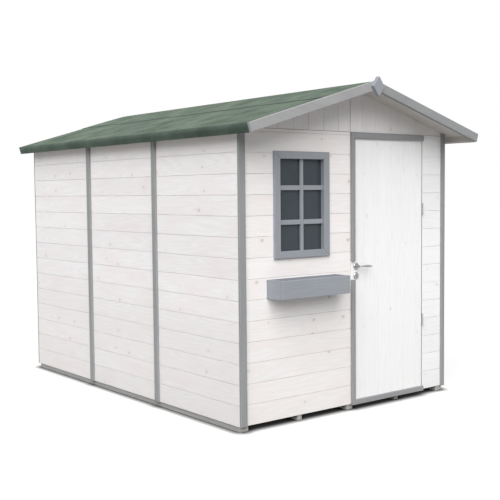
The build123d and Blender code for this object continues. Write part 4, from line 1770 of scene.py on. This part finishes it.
@dataclass
class Studio:
    """Pale floor, soft daylight and a camera where the photograph was taken."""

    floor_reach: float = 60.0
    floor_colour: str = "#939393"
    floor_glow: float = 0.72
    # Colour of the painted contact shade on the floor
    contact_colour: str = "#2a2423"
    contact_reach: float = 0.07
    contact_depth: float = 3.0
    contact_samples: int = 16
    sky_strength: float = 0.4
    sun_strength: float = 3.75
    sun_from: Triple = (-0.5, -0.56, 0.68)
    sun_spread: float = 62.0
    camera_place: Triple = (-4.484, -6.019, 1.545)
    camera_yaw: float = 38.254
    camera_pitch: float = -3.626
    camera_roll: float = -0.55
    camera_lens: float = 64.905

    def build(self) -> None:
        """Set the floor, the light and the camera."""
        bpy.context.scene.view_settings.view_transform = "Standard"
        self._floor()
        self._sky()
        self._sun()
        self._camera()

    def _seen(self, tree: Tree) -> Node:
        """Find out whether the camera, a reflection or a pane looks at a surface.

        Args:
            tree: Tree of the surface.

        Returns:
            One where it does, else zero.
        """
        path = add_node(tree, "ShaderNodeLightPath").outputs
        direct = maths(tree, "MAXIMUM", path["Is Camera Ray"], path["Is Glossy Ray"])
        return maths(tree, "MAXIMUM", direct, path["Is Transmission Ray"])

    def _floor(self) -> None:
        """Lay a matt pale floor that shows as white and keeps the shadow, darkened under and beside the
        shed by painted contact shade.
        """
        mesh = bpy.data.meshes.new("studio_floor")
        ends = (-self.floor_reach, self.floor_reach)
        mesh.from_pydata([(x, y, 0) for y in ends for x in ends], [], [(0, 1, 3, 2)])
        material, tree, _ = blank_material("studio_paper")
        # Ambient occlusion darkens the paper's colour and fades its glow under and beside the shed: painted
        # contact shade
        distance = {"Distance": self.contact_reach}
        contact = add_node(tree, "ShaderNodeAmbientOcclusion", distance, samples=self.contact_samples)
        openness = maths(tree, "POWER", contact.outputs["AO"], self.contact_depth)
        paper = blend(tree, openness, self.contact_colour, self.floor_colour)
        open_glow = maths(tree, "MULTIPLY", openness, self.floor_glow)
        strength = maths(tree, "MULTIPLY", self._seen(tree), open_glow)
        matt = add_node(tree, "ShaderNodeBsdfDiffuse", {"Color": paper})
        glow = add_node(tree, "ShaderNodeEmission", {"Strength": strength})
        both = add_node(tree, "ShaderNodeAddShader", {0: matt, 1: glow})
        add_node(tree, "ShaderNodeOutputMaterial", {"Surface": both})
        mesh.materials.append(material)
        new_object("studio_floor", mesh)

    def _sky(self) -> None:
        """Light the shed evenly from all round, with white behind it."""
        world = bpy.data.worlds.new("studio_sky")
        world.use_nodes = True
        tree = world.node_tree
        tree.nodes.clear()
        strength = span(tree, self._seen(tree), target=(self.sky_strength, 1))
        sky = add_node(tree, "ShaderNodeBackground", {"Color": (1, 1, 1, 1), "Strength": strength})
        add_node(tree, "ShaderNodeOutputWorld", {"Surface": sky})
        bpy.context.scene.world = world

    def _sun(self) -> None:
        """Hang a broad soft light high in front of the shed."""
        light = bpy.data.lights.new("studio_daylight", "SUN")
        light.energy = self.sun_strength
        light.angle = math.radians(self.sun_spread)
        lamp = bpy.data.objects.new("studio_daylight", light)
        lamp.rotation_mode = "QUATERNION"
        lamp.rotation_quaternion = Vector(self.sun_from).to_track_quat("Z", "Y")
        bpy.context.scene.collection.objects.link(lamp)

    def _camera(self) -> None:
        """Place the camera by its yaw, pitch and roll."""
        yaw, pitch, roll = map(math.radians, (self.camera_yaw, self.camera_pitch, self.camera_roll))
        ahead = Vector((math.sin(yaw) * math.cos(pitch), math.cos(yaw) * math.cos(pitch), math.sin(pitch)))
        level = Vector((math.cos(yaw), -math.sin(yaw), 0))
        above = level.cross(ahead)
        right = math.cos(roll) * level + math.sin(roll) * above
        up = -math.sin(roll) * level + math.cos(roll) * above
        data = bpy.data.cameras.new("studio_camera")
        data.lens = self.camera_lens
        camera = bpy.data.objects.new("studio_camera", data)
        turn = Matrix((right, up, -ahead)).transposed().to_4x4()
        camera.matrix_world = Matrix.Translation(self.camera_place) @ turn
        bpy.context.scene.collection.objects.link(camera)
        bpy.context.scene.camera = camera


def main() -> None:
    """Build the shed's pieces in order, then the studio."""
    logging.basicConfig(level=logging.INFO, format="%(name)s: %(message)s")
    roof = RoofLine.from_frame()
    mill = BoardMill(roof)
    WallCladding(mill).build()
    GableCladding(mill).build()
    DoorLeaf(mill).build()
    Flooring(mill).build()
    RoofBoarding(mill).build()
    FeltRoof(roof).build(mill, FeltFinish().material())
    Window(mill).build()
    Trim().build()
    LeverHandle().build()
    LockCase().build()
    Fastenings(ScrewSetter(), roof).build()
    Studio().build()


if __name__ == "__main__":
    main()
